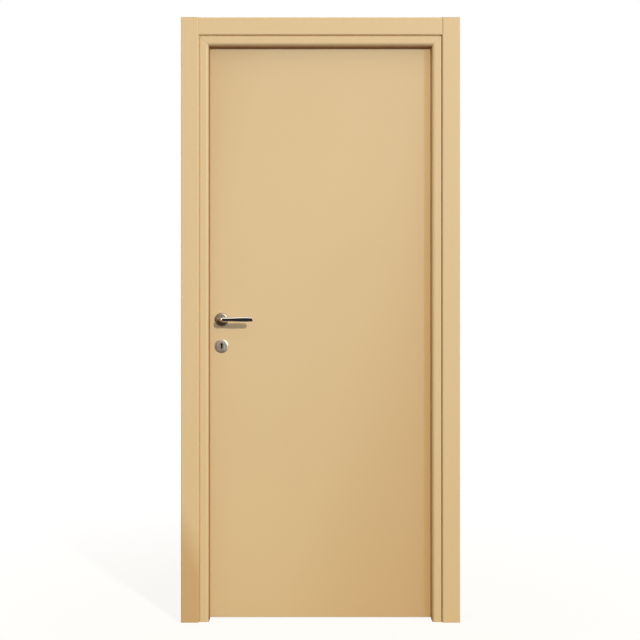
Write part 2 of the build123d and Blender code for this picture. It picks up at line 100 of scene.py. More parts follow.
# For each bead, the painted shade in the groove by the casing, and the painted shade from its face back to the leaf
BEAD_SHADE_TONES = {
    "latch": (0.0, ((0.04, 0.0), (0.13, 0.45), (0.25, 0.85), (0.85, 1.0))),
    "hinge": (0.55, ((0.06, 0.0), (0.20, 0.15), (0.30, 0.45), (0.85, 1.0))),
    "head": (0.35, ((0.18, 0.0), (0.30, 0.45), (0.50, 1.0), (0.85, 1.0))),
}

# Hinges: the slant of the leaf's stems, the gap at the joint, and profiles as (radius, height)
LEAF_STEM_SLANT = math.radians(29.7)
HINGE_GAP = 0.001
BARREL_CAP = 0.0035
BUSH_PROFILE = ((0.0, -0.002), (0.0058, -0.002), (0.0058, 0.0006), (0.0, 0.0006))
PIN_SHOULDER, PIN_END, PIN_TIP_RADIUS = 0.033, 0.034, 0.0022

# Lock: the depth of its middle, its plates' screw holes, and the levers that stand in the keyhole
LOCK_Y = 0.0235
SCREW_HOLE = 0.0022
LOCK_LEVERS_Y = (0.0195, 0.0225, 0.0255)
LOCK_LEVER_THICKNESS = 0.0022

# Key plates: how far the skin's hole lies below the keyhole, the oval boss in rings of (height, how much
# smaller), and the keyhole's round top, half slot and round foot
SKIN_HOLE_DROP = 0.006
BOSS_HALVES = (0.011, 0.0165)
BOSS_RINGS = ((0.0040, 0.0), (0.0062, 0.0), (0.0068, 0.00012), (0.0071, 0.0004), (0.0072, 0.0009))
KEYHOLE = (0.0043, 0.0034, 0.0037)
KEYHOLE_LENGTH = 0.014

# The grip's sections as (reach, rise, half depth, half height); the last stands at the tip, without its reach
GRIP = (
    (0.017, 0.0, 0.0074, 0.0080),
    (0.042, 0.0002, 0.0069, 0.0084),
    (0.076, 0.0004, 0.0065, 0.0094),
    (0.100, 0.0003, 0.0061, 0.0092),
)
GRIP_TIP = (0.0, 0.0054, 0.0079)

# Studio: where the strips stand, and the pieces that the upper lamp passes
LEFT_STRIP_TURN = math.radians(-76.0)
RIGHT_STRIP_TURN = math.radians(62.0)
UPPER_LAMP_PASSES = ("bead_", "head_jamb", "hinge_jamb", "head_stop", "hinge_stop", "casing_front_head")


def size(name, description, default, low=0.0, high=3.0):
    """Give a length property in metres."""
    return FloatProperty(
        name=name, description=description, default=default, min=low, max=high, unit="LENGTH", precision=4
    )


def colour(name, description, default):
    """Give a linear colour property."""
    return FloatVectorProperty(
        name=name, description=description, default=default, size=3, min=0.0, max=1.0, subtype="COLOR"
    )


def strength(name, description, default, **limits):
    """Give a brightness property."""
    return FloatProperty(name=name, description=description, default=default, min=0.0, **limits)


class FrameSizes(PropertyGroup):
    half_opening: size("Half opening", "From the door's centre line to the stop", 0.405)
    opening_height: size("Opening height", "Floor to the head's stop", 2.089)
    bead_front: size("Bead front", "Depth of the round-nosed bead's face", STOP_LOW.y, -0.1, 0.1)
    bead_width: size("Bead width", "Width of the round-nosed bead", 0.0335)
    nose_radius: size("Nose radius", "Rounding of the bead towards the opening", 0.0105)
    bead_outer: size("Outer rounding", "Rounding of the bead towards the casing", 0.004)
    stop_back: size("Stop back", "Depth of the stop's closing face", 0.0015)
    rebate: size("Rebate", "Distance from the stop to the rebate's side", 0.015)
    jamb: size("Jamb", "Distance from the stop to the jamb's outer face", 0.045)
    wall_half: size("Half wall", "Half of the frame's depth", 0.0425)
    casing_width: size("Casing width", "Width of the flat casings", 0.0645)
    casing_thickness: size("Casing thickness", "Thickness of the flat casings", 0.012)
    casing_round: size("Casing rounding", "Rounding of the casings' long edges", 0.0045)
    front_inset: size("Front inset", "Opening edge to the front casing", 0.0355)
    back_inset: size("Back inset", "Opening edge to the back casing", 0.028)
    tongue_in: size("Tongue place", "Opening edge to the casing's tongue", 0.0365)
    tongue_thickness: size("Tongue thickness", "Thickness of the casing's tongue", 0.004)
    tongue_length: size("Tongue length", "How far the tongue goes into the jamb", 0.020)
    seal_in: size("Seal place", "Opening edge to the seal's groove", 0.005)
    seal_width: size("Seal width", "Width of the seal", 0.004)
    seal_depth: size("Seal depth", "Depth of the seal's groove", 0.005)
    seal_proud: size("Seal proud", "How far the seal stands out of the stop", 0.001)


class LeafSizes(PropertyGroup):
    skin: size("Skin", "Thickness of each skin", 0.004)
    front_edge: size("Front edge rounding", "Rounding of the front skin's edge", 0.0015)
    back_edge: size("Back edge rounding", "Rounding of the back skin's edge", 0.0025)
    lever_hole: size("Lever hole", "Radius of the hole for the lever's neck", 0.0095)
    key_hole_width: size("Key hole width", "Width of the hole behind the key plate", 0.012)
    key_hole_height: size("Key hole height", "Height of the hole behind the key plate", 0.030)
    key_hole_corner: size("Key hole corner", "Corner radius of that hole", 0.004)


class HandleSizes(PropertyGroup):
    backset: size("Backset", "Leaf edge to the lever's centre", 0.050)
    lever_height: size("Lever height", "Floor to the lever's centre", 1.096)
    key_drop: size("Key drop", "Lever's centre to the keyhole's centre", 0.091)
    plate_drop: size("Key plate drop", "Keyhole's top to the key plate's centre", 0.007)
    rose_radius: size("Rosette radius", "Radius of rosette and key plate", 0.025)
    rose_thickness: size("Rosette thickness", "How far the rosette stands out", 0.009)
    rose_bore: size("Rosette bore", "Radius of the hole for the neck", 0.0085)
    neck_radius: size("Neck radius", "Radius of the lever's neck", 0.008)
    reach: size("Lever reach", "Leaf to the middle of the grip", 0.0485)
    bend: size("Bend radius", "Radius of the bend between neck and grip", 0.017)
    grip_length: size("Grip length", "Lever's centre to the tip", 0.118)
    tip_round: size("Tip rounding", "Length over which the tip closes", 0.0045)


class HingeSizes(PropertyGroup):
    low: size("Low hinge", "Height of the lowest hinge", 0.210)
    middle: size("Middle hinge", "Height of the middle hinge", 1.060)
    high: size("High hinge", "Height of the highest hinge", 1.900)
    axis_x: size("Axis", "The hinges' axis along the width", CENTRE_X + 0.436, -3.0)
    axis_y: size("Axis depth", "The hinges' axis along the depth", 0.0635)
    barrel_radius: size("Barrel radius", "Radius of a hinge barrel", 0.007)
    barrel_length: size("Barrel length", "Length of each barrel half", 0.044)
    pin_radius: size("Pin radius", "Radius of the hinge pin", 0.003)
    stem_radius: size("Stem radius", "Radius of the screw-in stem", 0.0035)
    stem_length: size("Stem length", "Length of the screw-in stem", 0.054)
    stem_height: size("Stem height", "Joint to the stem", 0.022)


class LockSizes(PropertyGroup):
    latch_width: size("Latch width", "Width of the latch bolt", 0.012)
    latch_height: size("Latch height", "Height of the latch bolt", 0.028)
    bolt_width: size("Bolt width", "Width of the dead bolt", 0.008)
    bolt_height: size("Bolt height", "Height of the dead bolt", 0.034)
    bolt_drop: size("Bolt drop", "Keyhole to the dead bolt", 0.010)
    screw_head: size("Screw head", "Radius of a countersunk screw's head", 0.004)
    faceplate_screws: size("Faceplate screws", "Distance between the faceplate's screws", 0.212)
    strike_screws: size("Strike screws", "Distance between the strike plate's screws", 0.172)


class DoorColours(PropertyGroup):
    lacquer: colour("Lacquer", "The satin lacquer in full light", (0.685, 0.49, 0.262))
    # Painted shade: the colour towards which the leaf's and casings' lacquer darkens along its drift; the random
    # cloud goes half way to it
    painted_drift_and_cloud_tone: colour("Painted drift and cloud", "The lacquer's painted shade drift; the random cloud goes half way to it", (0.545, 0.325, 0.140))
    # Painted shade: the side beads darken towards this colour down their sides and in the groove by the casing, and
    # their dark mitre line uses it too; the head bead uses the darker colour below
    bead_shade_and_joint: colour("Painted bead shade and joint", "Painted shade down the beads' sides and in their grooves, and their dark mitre line", (0.34, 0.13, 0.020))
    head_gap_shade_and_joint: colour("Painted head gap shade and joint", "Painted shade under the head bead, and its dark mitre line", (0.20, 0.055, 0.006))
    primer: colour("Primer", "The unlacquered side towards the wall", (0.72, 0.62, 0.46))
    timber: colour("Timber", "Sawn pine", (0.62, 0.42, 0.21))
    timber_dark: colour("Timber rings", "Late wood in the pine", (0.42, 0.23, 0.09))
    board: colour("Board", "Chipboard core", (0.50, 0.35, 0.18))
    rubber: colour("Seal", "Brown rubber seal", (0.17, 0.105, 0.05))
    chrome: colour("Chrome", "Polished levers", (0.78, 0.76, 0.73))
    rosette: colour("Rosette metal", "Rosettes behind the levers", (0.50, 0.45, 0.39))
    satin: colour("Satin metal", "Key plates", (0.86, 0.80, 0.765))
    steel: colour("Steel", "Hinges and lock", (0.46, 0.45, 0.435))


class StudioSettings(PropertyGroup):
    camera_distance: size("Camera distance", "Camera to the wall's middle", 3.72, 0.5, 20.0)
    camera_height: size("Camera height", "Floor to the camera", 1.094)
    view_width: size("View width", "Width of the picture at the bead's face", 2.317, 0.1, 20.0)
    ambient: strength("Ambient", "Strength of the even light", 0.58)
    ambient_tone: colour("Ambient tone", "Colour of the even light", (1.0, 0.88, 0.66))
    side_light: strength("Side light", "Strength of the lamp from the right", 1.25)
    side_tone: colour("Side tone", "Colour of the lamp from the right", (0.27, 0.52, 1.0))
    upper_light: strength("Upper light", "Strength of the lamp from above", 2.2)
    upper_tone: colour("Upper tone", "Colour of the upper and the edge lamp", (0.975, 0.94, 0.79))
    back_light: strength("Back light", "Strength of the lamp behind the door", 2.2)
    edge_light: strength("Edge light", "Strength of the grazing lamp from the left on the frame", 0.5)
    floor_bounce: strength("Floor bounce", "How much light the floor gives back", 0.31, max=1.0)
    surround: strength("Surround", "Brightness of the dark cards that polished metal mirrors", 0.03)
    surround_back: strength("Surround behind", "Brightness of the cards at the sides and behind", 0.45)
    surround_floor: strength("Surround floor", "Brightness of the card that lies round the door's foot", 0.03)
    surround_height: size("Surround height", "Height of the dark cards", 6.1, 0.0, 20.0)
    surround_radius: size("Surround radius", "Distance of the dark cards from the door", 5.0, 1.0, 30.0)
    band_height: size("Band height", "Height of the bright band over the dark cards", 5.0, 0.0, 20.0)
    band: strength("Band", "Brightness of the band over the dark cards", 1.9)
    strip_left: strength("Left strip", "Brightness of the tall strip at the left", 2.0)
    strip_right: strength("Right strip", "Brightness of the tall strip at the right", 1.3)


def settings():
    """Give the scene's door settings."""
    return bpy.context.scene.interior_door


class DoorSettings(PropertyGroup):
    frame_sizes: PointerProperty(name="Frame", description="Jambs, beads and casings", type=FrameSizes)
    leaf: PointerProperty(name="Leaf", description="The flush leaf", type=LeafSizes)
    handle: PointerProperty(name="Handle", description="Lever, rosette and key plate", type=HandleSizes)
    hinges: PointerProperty(name="Hinges", description="Barrel hinges", type=HingeSizes)
    lock: PointerProperty(name="Lock", description="Plates, bolts and screws", type=LockSizes)
    colours: PointerProperty(name="Colours", description="Colours of every finish", type=DoorColours)
    studio: PointerProperty(name="Studio", description="Camera, floor and lamps", type=StudioSettings)


# Meshes


def rounded(corners, steps=ARC_STEPS):
    """Turn (x, y, radius) corners into outline points, with an arc at each corner that has a radius."""
    points = []
    count = len(corners)
    for i, (x, y, radius) in enumerate(corners):
        here = Vector((x, y))
        if radius <= 0:
            points.append((x, y))
            continue
        back = (Vector(corners[i - 1][:2]) - here).normalized()
        ahead = (Vector(corners[(i + 1) % count][:2]) - here).normalized()
        half = back.angle(ahead) / 2
        middle = here + (back + ahead).normalized() * (radius / math.sin(half))
        first = here + back * (radius / math.tan(half)) - middle
        last = here + ahead * (radius / math.tan(half)) - middle
        turn = math.atan2(first.x * last.y - first.y * last.x, first.dot(last))
        for k in range(steps + 1):
            spot = middle + Matrix.Rotation(turn * k / steps, 2) @ first
            points.append((spot.x, spot.y))
    return points


def circle(x, y, radius, steps=48):
    """Give the points of a circle."""
    return [
        (x + radius * math.cos(math.tau * k / steps), y + radius * math.sin(math.tau * k / steps))
        for k in range(steps)
    ]


def box_outline(x, y, half_width, half_height, radius, steps=6):
    """Give an upright rectangle with rounded corners."""
    ways = ((-1, -1), (1, -1), (1, 1), (-1, 1))
    return rounded([(x + sx * half_width, y + sy * half_height, radius) for sx, sy in ways], steps)


def slot_outline(x, y, half_width, half_height):
    """Give an upright outline with half-round ends, a hair short of it so that their two arcs don't meet."""
    return box_outline(x, y, half_width, half_height, half_width * 0.9999, 16)


def bowed(start, through, end, steps):
    """Give the points after start on a curve to end that passes a place half way."""
    pull = 2 * through - (start + end) / 2
    places = [k / steps for k in range(1, steps + 1)]
    return [(1 - t) ** 2 * start + 2 * t * (1 - t) * pull + t * t * end for t in places]


def smoothed(mesh, sharp_from=SHARP_FROM):
    """Shade a mesh smooth, apart from its sharper edges."""
    mesh.shade_smooth()
    mesh.set_sharp_from_angle(angle=math.radians(sharp_from))


def new_object(name, bm, sharp_from=SHARP_FROM):
    """Make a piece of a bmesh, with outward normals, smooth arcs and flat faces kept flat."""
    bmesh.ops.remove_doubles(bm, verts=bm.verts, dist=1e-6)
    bmesh.ops.recalc_face_normals(bm, faces=bm.faces)
    mesh = bpy.data.meshes.new(name)
    bm.to_mesh(mesh)
    bm.free()
    smoothed(mesh, sharp_from)
    piece = bpy.data.objects.new(name, mesh)
    bpy.context.scene.collection.objects.link(piece)
    return piece


def even_normals(piece):
    """Weight the normals by face area, so that wide faces stay flat beside their rounded edges."""
    weighted = piece.modifiers.new("Even normals", "WEIGHTED_NORMAL")
    weighted.mode = "FACE_AREA"
    weighted.keep_sharp = True
    return piece


def add_loft(bm, rings):
    """Join rings of points with quads, and cap both ends."""
    made = [[bm.verts.new(point) for point in ring] for ring in rings]
    for low, high in zip(made, made[1:]):
        count = len(low)
        for k in range(count):
            bm.faces.new((low[k], low[(k + 1) % count], high[(k + 1) % count], high[k]))
    bm.faces.new(made[0][::-1])
    bm.faces.new(made[-1])


def lofted(name, rings, sharp_from=SHARP_FROM):
    """Make a piece of one loft."""
    bm = bmesh.new()
    add_loft(bm, rings)
    return new_object(name, bm, sharp_from)


def add_turned(bm, profile, centre, axis, across, steps=TURN_STEPS):
    """Turn a profile of (radius, height) round an axis; a profile that ends on the axis closes there."""
    other = axis.cross(across)
    turns = [math.tau * k / steps for k in range(steps)]
    arms = [across * math.cos(a) + other * math.sin(a) for a in turns]
    rings = []
    for radius, height in profile:
        if radius < 1e-7:
            rings.append([bm.verts.new(centre + axis * height)])
        else:
            rings.append([bm.verts.new(centre + axis * height + radius * arm) for arm in arms])
    for low, high in zip(rings, rings[1:]):
        for k in range(steps):
            j = (k + 1) % steps
            corners = [low[k % len(low)], low[j % len(low)], high[j % len(high)], high[k % len(high)]]
            unique = [v for i, v in enumerate(corners) if v not in corners[:i]]
            if len(unique) > 2:
                bm.faces.new(unique)


def turned(name, profile, centre, axis, steps=TURN_STEPS, sharp_from=SHARP_FROM):
    """Make a piece of one turned profile."""
    bm = bmesh.new()
    add_turned(bm, profile, centre, axis, ACROSS, steps)
    return new_object(name, bm, sharp_from)


def add_plate(bm, outline, holes, thickness, place, edge, edge_steps=4):
    """Make a flat plate with holes, its show face at height 0 and rounded at the rim, and its back below."""
    loops = []
    for points in (outline, *holes):
        verts = [bm.verts.new((x, y, 0.0)) for x, y in points]
        loops.append([bm.edges.new((verts[k - 1], verts[k])) for k in range(len(verts))])
    filled = bmesh.ops.triangle_fill(
        bm, use_beauty=True, use_dissolve=False, edges=[e for loop in loops for e in loop], normal=(0, 0, 1)
    )
    top = [f for f in filled["geom"] if isinstance(f, bmesh.types.BMFace)]
    copied = bmesh.ops.duplicate(bm, geom=top)
    back_of = copied["vert_map"]
    for vert in copied["geom"]:
        if isinstance(vert, bmesh.types.BMVert):
            vert.co.z = -thickness
    for loop in loops:
        for rim in loop:
            a, b = rim.verts
            bm.faces.new((a, b, back_of[b], back_of[a]))
    bmesh.ops.recalc_face_normals(bm, faces=bm.faces)
    bmesh.ops.bevel(
        bm, geom=loops[0], offset=edge, offset_type="OFFSET", segments=edge_steps, profile=0.5, affect="EDGES",
        clamp_overlap=True,
    )
    bm.transform(place)


def cut(piece, tool, operation="DIFFERENCE"):
    """Cut one closed piece with another, or join them, and drop the tool."""
    change = piece.modifiers.new("Cut", "BOOLEAN")
    change.operation = operation
    change.solver = "EXACT"
    change.object = tool
    settle(piece)
    mesh = tool.data
    bpy.data.objects.remove(tool)
    bpy.data.meshes.remove(mesh)


def settle(piece):
    """Turn a piece's modifiers into a plain mesh."""
    bpy.context.view_layer.update()
    evaluated = piece.evaluated_get(bpy.context.evaluated_depsgraph_get())
    mesh = bpy.data.meshes.new_from_object(evaluated)
    old = piece.data
    piece.modifiers.clear()
    piece.data = mesh
    mesh.name = piece.name
    bpy.data.meshes.remove(old)


def fit_out(piece, body, nodes, finish):
    """Give a piece its finish, put it on its body, and let it stand for its nodes."""
    piece.data.materials.clear()
    piece.data.materials.append(finish)
    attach(piece, body)
    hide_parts(*nodes)


def finish_nodes(finish, *names):
    """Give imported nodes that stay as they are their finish."""
    for name in names:
        mesh = frame["nodes"][name].data
        mesh.materials.clear()
        mesh.materials.append(finish)


# Nodes and finishes


def add(tree, kind, inputs=None, **values):
    """Add a node, with constants or links for its inputs."""
    node = tree.nodes.new(kind)
    for name, value in values.items():
        setattr(node, name, value)
    for name, value in (inputs or {}).items():
        if isinstance(value, bpy.types.NodeSocket):
            tree.links.new(value, node.inputs[name])
        else:
            node.inputs[name].default_value = value
    return node


def maths(tree, operation, *values):
    """Give the result of a maths node."""
    return add(tree, "ShaderNodeMath", dict(enumerate(values)), operation=operation).outputs[0]


def vector_maths(tree, operation, *vectors):
    """Give the result of a vector maths node: a number for a length or a dot product, else a vector."""
    outputs = add(tree, "ShaderNodeVectorMath", dict(enumerate(vectors)), operation=operation).outputs
    return outputs["Value" if operation in ("DOT_PRODUCT", "LENGTH") else "Vector"]


def object_coords(tree):
    """Give object coordinates."""
    return add(tree, "ShaderNodeTexCoord").outputs["Object"]


def from_middle(tree, coords):
    """Measure coordinates from the door's centre line."""
    inputs = {"Vector": coords, "Location": (-CENTRE_X, 0.0, 0.0)}
    return add(tree, "ShaderNodeMapping", inputs).outputs["Vector"]


def new_finish(name, **constants):
    """Start a finish: its tree, its surface shader and its object coordinates."""
    finish = bpy.data.materials.new(name)
    finish.use_nodes = True
    tree = finish.node_tree
    surface = tree.nodes["Principled BSDF"]
    for socket, value in constants.items():
        surface.inputs[socket].default_value = value
    return finish, tree, surface, object_coords(tree)


def stretched(tree, coords, scale):
    """Scale coordinates differently along each axis, for grain and brushing."""
    return add(tree, "ShaderNodeMapping", {"Vector": coords, "Scale": scale}).outputs["Vector"]


def noise(tree, coords, scale, detail=2.0, roughness=0.5):
    """Give a noise value."""
    inputs = {"Vector": coords, "Scale": scale, "Detail": detail, "Roughness": roughness}
    return add(tree, "ShaderNodeTexNoise", inputs).outputs["Fac"]


def ramp(tree, value, stops):
    """Turn a value into colours through (place, colour) stops."""
    node = add(tree, "ShaderNodeValToRGB", {"Fac": value})
    points = node.color_ramp.elements
    while len(points) < len(stops):
        points.new(0.5)
    for point, (place, tone) in zip(points, stops):
        point.position = place
        point.color = (*tone, 1.0)
    return node.outputs["Color"]


def tone_ramp(tree, value, shade_tones):
    """Turn a value into a depth through (place, depth) stops."""
    return ramp(tree, value, [(place, (depth,) * 3) for place, depth in shade_tones])


def mix(tree, factor, first, second):
    """Mix two colours."""
    node = add(tree, "ShaderNodeMix", data_type="RGBA")
    for index, value in ((0, factor), (6, first), (7, second)):
        if isinstance(value, bpy.types.NodeSocket):
            tree.links.new(value, node.inputs[index])
        else:
            node.inputs[index].default_value = value if index == 0 else (*value, 1.0)
    return node.outputs[2]


def spread(tree, value, low, high, to_low=0.0, to_high=1.0):
    """Map a value's range onto another, and hold it at the ends."""
    inputs = {"Value": value, "From Min": low, "From Max": high, "To Min": to_low, "To Max": to_high}
    return add(tree, "ShaderNodeMapRange", inputs).outputs["Result"]


def bump(tree, surface, height, raised, distance, under=None):
    """Raise the surface by a height value, over an earlier bump if there is one."""
    inputs = {"Height": height, "Strength": raised, "Distance": distance}
    if under is not None:
        inputs["Normal"] = under
    node = add(tree, "ShaderNodeBump", inputs)
    tree.links.new(node.outputs["Normal"], surface.inputs["Normal"])
    return node.outputs["Normal"]


def lacquer_finish(name, across=(0.0, 0.0, 0.0), middle=0.0, shade_tones=((0.0, 0.0), (1.0, 0.0))):
    """Satin lacquer: painted shade that drifts along one direction, a faint random cloudiness, and a fine sprayed
    texture.

    The painted shade is measured along across from middle, in metres, and shade_tones gives its depth at places from
    0 to 1.
    """
    tint = settings().colours
    finish, tree, surface, coords = new_finish(name, Roughness=0.45, IOR=1.46)
    cloud = noise(tree, coords, 1.7, 1.5)
    along = vector_maths(tree, "DOT_PRODUCT", coords, across)
    # Painted shade: the lacquer darkens along the drift
    depth = tone_ramp(tree, spread(tree, along, middle - 1.0, middle + 1.0), shade_tones)
    base = mix(tree, depth, tint.lacquer, tint.painted_drift_and_cloud_tone)
    warm = tuple(0.5 * (a + b) for a, b in zip(tint.lacquer, tint.painted_drift_and_cloud_tone))
    clouded = mix(tree, spread(tree, cloud, 0.35, 0.7, 0.0, 0.10), base, warm)
    tree.links.new(clouded, surface.inputs["Base Color"])
    sheen = noise(tree, coords, 55.0, 3.0)
    tree.links.new(spread(tree, sheen, 0.3, 0.7, 0.40, 0.52), surface.inputs["Roughness"])
    ripple = bump(tree, surface, noise(tree, coords, 34.0, 2.0), 0.10, 0.0006)
    bump(tree, surface, noise(tree, coords, 620.0, 2.0), 0.12, 0.00012, ripple)
    return finish




def over_lacquer(name):
    """Start a finish over plain lacquer: its tree, surface and colour, and X, Y and Z from the centre line."""
    finish = lacquer_finish(name)
    tree = finish.node_tree
    surface = tree.nodes["Principled BSDF"]
    lacquered = surface.inputs["Base Color"].links[0].from_socket
    parts = add(tree, "ShaderNodeSeparateXYZ", {"Vector": from_middle(tree, object_coords(tree))}).outputs
    return finish, tree, surface, lacquered, parts


def bead_finish(place):
    """Lacquer with painted shade down the side towards the leaf and in the groove by the casing, and a dark joint
    line at the mitre.
    """
    groove_shade, reveal_shade_tones = BEAD_SHADE_TONES[place]
    tint = settings().colours
    sizes = settings().frame_sizes
    finish, tree, surface, lacquered, parts = over_lacquer(f"Bead lacquer and painted shade {place}")
    aside = maths(tree, "ABSOLUTE", parts["X"])
    raised = maths(tree, "SUBTRACT", parts["Z"], sizes.opening_height - sizes.half_opening)
    out = maths(tree, "MAXIMUM", aside, raised)
    outer = sizes.half_opening + sizes.bead_width
    # Painted shade in the groove by the casing
    groove = spread(tree, out, outer - 0.0022, outer - 0.0005, 0.0, groove_shade)
    # Painted shade that deepens from the bead's face back to the leaf
    inward = spread(tree, parts["Y"], sizes.bead_front, sizes.stop_back)
    reveal_shade = tone_ramp(tree, inward, reveal_shade_tones)
    off_mitre = maths(tree, "ABSOLUTE", maths(tree, "SUBTRACT", aside, raised))
    mitre = spread(tree, off_mitre, 0.0002, 0.0009, 0.4, 0.0)
    depth = maths(tree, "MAXIMUM", maths(tree, "MAXIMUM", groove, mitre), reveal_shade)
    shade = tint.head_gap_shade_and_joint if place == "head" else tint.bead_shade_and_joint
    tree.links.new(mix(tree, depth, lacquered, shade), surface.inputs["Base Color"])
    return finish


def lining_finish():
    """Lacquer on the sides that show, and bare primer with a little grain on the outer side towards the wall."""
    tint = settings().colours
    sizes = settings().frame_sizes
    finish, tree, surface, lacquered, parts = over_lacquer("Lining lacquer and primer")
    outer = sizes.half_opening + sizes.jamb
    above = sizes.opening_height + sizes.jamb
    side = spread(tree, maths(tree, "ABSOLUTE", parts["X"]), outer - 0.0012, outer - 0.0002)
    top = spread(tree, parts["Z"], above - 0.0012, above - 0.0002)
    outside = maths(tree, "MAXIMUM", side, top)
    fibres = noise(tree, stretched(tree, object_coords(tree), (160.0, 160.0, 7.0)), 1.0, 3.0)
    raw = mix(tree, spread(tree, fibres, 0.35, 0.7, 0.0, 0.5), tint.primer, tint.timber)
    tree.links.new(mix(tree, outside, lacquered, raw), surface.inputs["Base Color"])
    return finish


def timber_finish(name, upright):
    """Sawn pine with rings drawn out along the grain."""
    tint = settings().colours
    finish, tree, surface, coords = new_finish(name, Roughness=0.7, IOR=1.45)
    long_way = (26.0, 60.0, 1.6) if upright else (1.6, 60.0, 26.0)
    drawn = stretched(tree, coords, long_way)
    bend = add(tree, "ShaderNodeTexNoise", {"Vector": drawn, "Scale": 0.6, "Detail": 2.0}).outputs["Color"]
    moved = vector_maths(tree, "ADD", drawn, bend)
    rings = add(tree, "ShaderNodeTexWave", {"Vector": moved, "Scale": 0.55, "Distortion": 3.0, "Detail": 2.0})
    grain = spread(tree, rings.outputs["Fac"], 0.2, 0.95)
    base = ramp(tree, grain, [(0.0, tint.timber), (0.75, tint.timber), (1.0, tint.timber_dark)])
    fibres = noise(tree, stretched(tree, coords, tuple(12.0 * s for s in long_way)), 1.0, 3.0)
    streaked = mix(tree, spread(tree, fibres, 0.3, 0.75, 0.0, 0.28), base, tint.timber_dark)
    tree.links.new(streaked, surface.inputs["Base Color"])
    bump(tree, surface, fibres, 0.35, 0.0003)
    return finish


def board_finish():
    """Chipboard: pressed flakes of mixed tone."""
    tint = settings().colours
    finish, tree, surface, coords = new_finish("Core board", Roughness=0.8, IOR=1.45)
    flakes = add(tree, "ShaderNodeTexVoronoi", {"Vector": coords, "Scale": 190.0})
    grey = add(tree, "ShaderNodeRGBToBW", {"Color": flakes.outputs["Color"]}).outputs["Val"]
    dark = tuple(0.55 * c for c in tint.board)
    tree.links.new(mix(tree, spread(tree, grey, 0.2, 0.8), tint.board, dark), surface.inputs["Base Color"])
    bump(tree, surface, flakes.outputs["Distance"], 0.5, 0.0006)
    return finish


def rubber_finish():
    """Extruded rubber: matt, with a fine tooth and a dusty bloom."""
    tint = settings().colours
    finish, tree, surface, coords = new_finish("Seal rubber", Roughness=0.7, IOR=1.5)
    bloom = spread(tree, noise(tree, coords, 90.0, 3.0), 0.4, 0.8, 0.0, 0.35)
    dusty = tuple(min(1.0, 1.7 * c) for c in tint.rubber)
    tree.links.new(mix(tree, bloom, tint.rubber, dusty), surface.inputs["Base Color"])
    bump(tree, surface, noise(tree, coords, 1500.0, 2.0), 0.25, 0.0001)
    return finish


def polished_finish():
    """Polished chrome with faint smudges from hands."""
    tint = settings().colours
    finish, tree, surface, coords = new_finish("Lever chrome", Metallic=1.0, Roughness=0.08)
    smudge = noise(tree, coords, 70.0, 3.0, 0.6)
    dull = tuple(0.93 * c for c in tint.chrome)
    tree.links.new(mix(tree, spread(tree, smudge, 0.45, 0.75), tint.chrome, dull), surface.inputs["Base Color"])
    tree.links.new(spread(tree, smudge, 0.4, 0.8, 0.06, 0.13), surface.inputs["Roughness"])
    bump(tree, surface, noise(tree, coords, 900.0, 2.0), 0.03, 0.00005)
    return finish


def brushed_finish(name, tone, rough, scale=(2400.0, 2400.0, 90.0)):
    """Satin metal: fine brushing along one way, and a slightly uneven gloss."""
    finish, tree, surface, coords = new_finish(name, Metallic=1.0, Roughness=rough)
    brushing = noise(tree, stretched(tree, coords, scale), 1.0, 2.0)
    patches = noise(tree, coords, 40.0, 2.0)
    shade = tuple(0.86 * c for c in tone)
    tree.links.new(mix(tree, spread(tree, brushing, 0.3, 0.7), tone, shade), surface.inputs["Base Color"])
    tree.links.new(spread(tree, patches, 0.3, 0.7, rough - 0.05, rough + 0.07), surface.inputs["Roughness"])
    bump(tree, surface, brushing, 0.10, 0.00008)
    return finish


def keyhole_shade_finish():
    """Painted shade for a keyhole's walls: near black, with a faint speckle and a fine bump."""
    finish, tree, surface, coords = new_finish("Keyhole painted shade", Metallic=0.0, Roughness=0.6, IOR=1.5)
    keyhole_noise = noise(tree, coords, 1400.0, 2.0)
    keyhole_shade = ramp(tree, keyhole_noise, [(0.4, (0.004, 0.004, 0.004)), (0.8, (0.02, 0.019, 0.018))])
    tree.links.new(keyhole_shade, surface.inputs["Base Color"])
    bump(tree, surface, keyhole_noise, 0.3, 0.0001)
    return finish


# Geometry Nodes trees


def tree_socket(tree, name, kind, default=None, outward=False):
    """Add a named input or output to a tree."""
    socket = tree.interface.new_socket(name=name, in_out="OUTPUT" if outward else "INPUT", socket_type=kind)
    if default is not None:
        socket.default_value = default


def new_tree(title, *sockets):
    """Start a tree that takes a mesh, inputs given as (name, kind, default), and a finish."""
    tree = bpy.data.node_groups.new(title, "GeometryNodeTree")
    tree_socket(tree, "Geometry", "NodeSocketGeometry", outward=True)
    for name, kind, default in (("Geometry", "Geometry", None), *sockets, ("Finish", "Material", None)):
        tree_socket(tree, name, f"NodeSocket{kind}", default)
    return tree, tree.nodes.new("NodeGroupInput").outputs


def close_tree(tree, inside, shape):
    """End a tree: make its copies real and give them the finish."""
    solid = add(tree, "GeometryNodeRealizeInstances", {"Geometry": shape}).outputs[0]
    coated = add(tree, "GeometryNodeSetMaterial", {"Geometry": solid, "Material": inside["Finish"]}).outputs[0]
    tree.links.new(coated, tree.nodes.new("NodeGroupOutput").inputs[0])
    return tree


def set_input(modifier, name, value):
    """Set a modifier's input by its socket's identifier."""
    for item in modifier.node_group.interface.items_tree:
        if item.item_type == "SOCKET" and item.in_out == "INPUT" and item.name == name:
            modifier[item.identifier] = value
            return
    raise RuntimeError(f"the tree has no input named {name}")


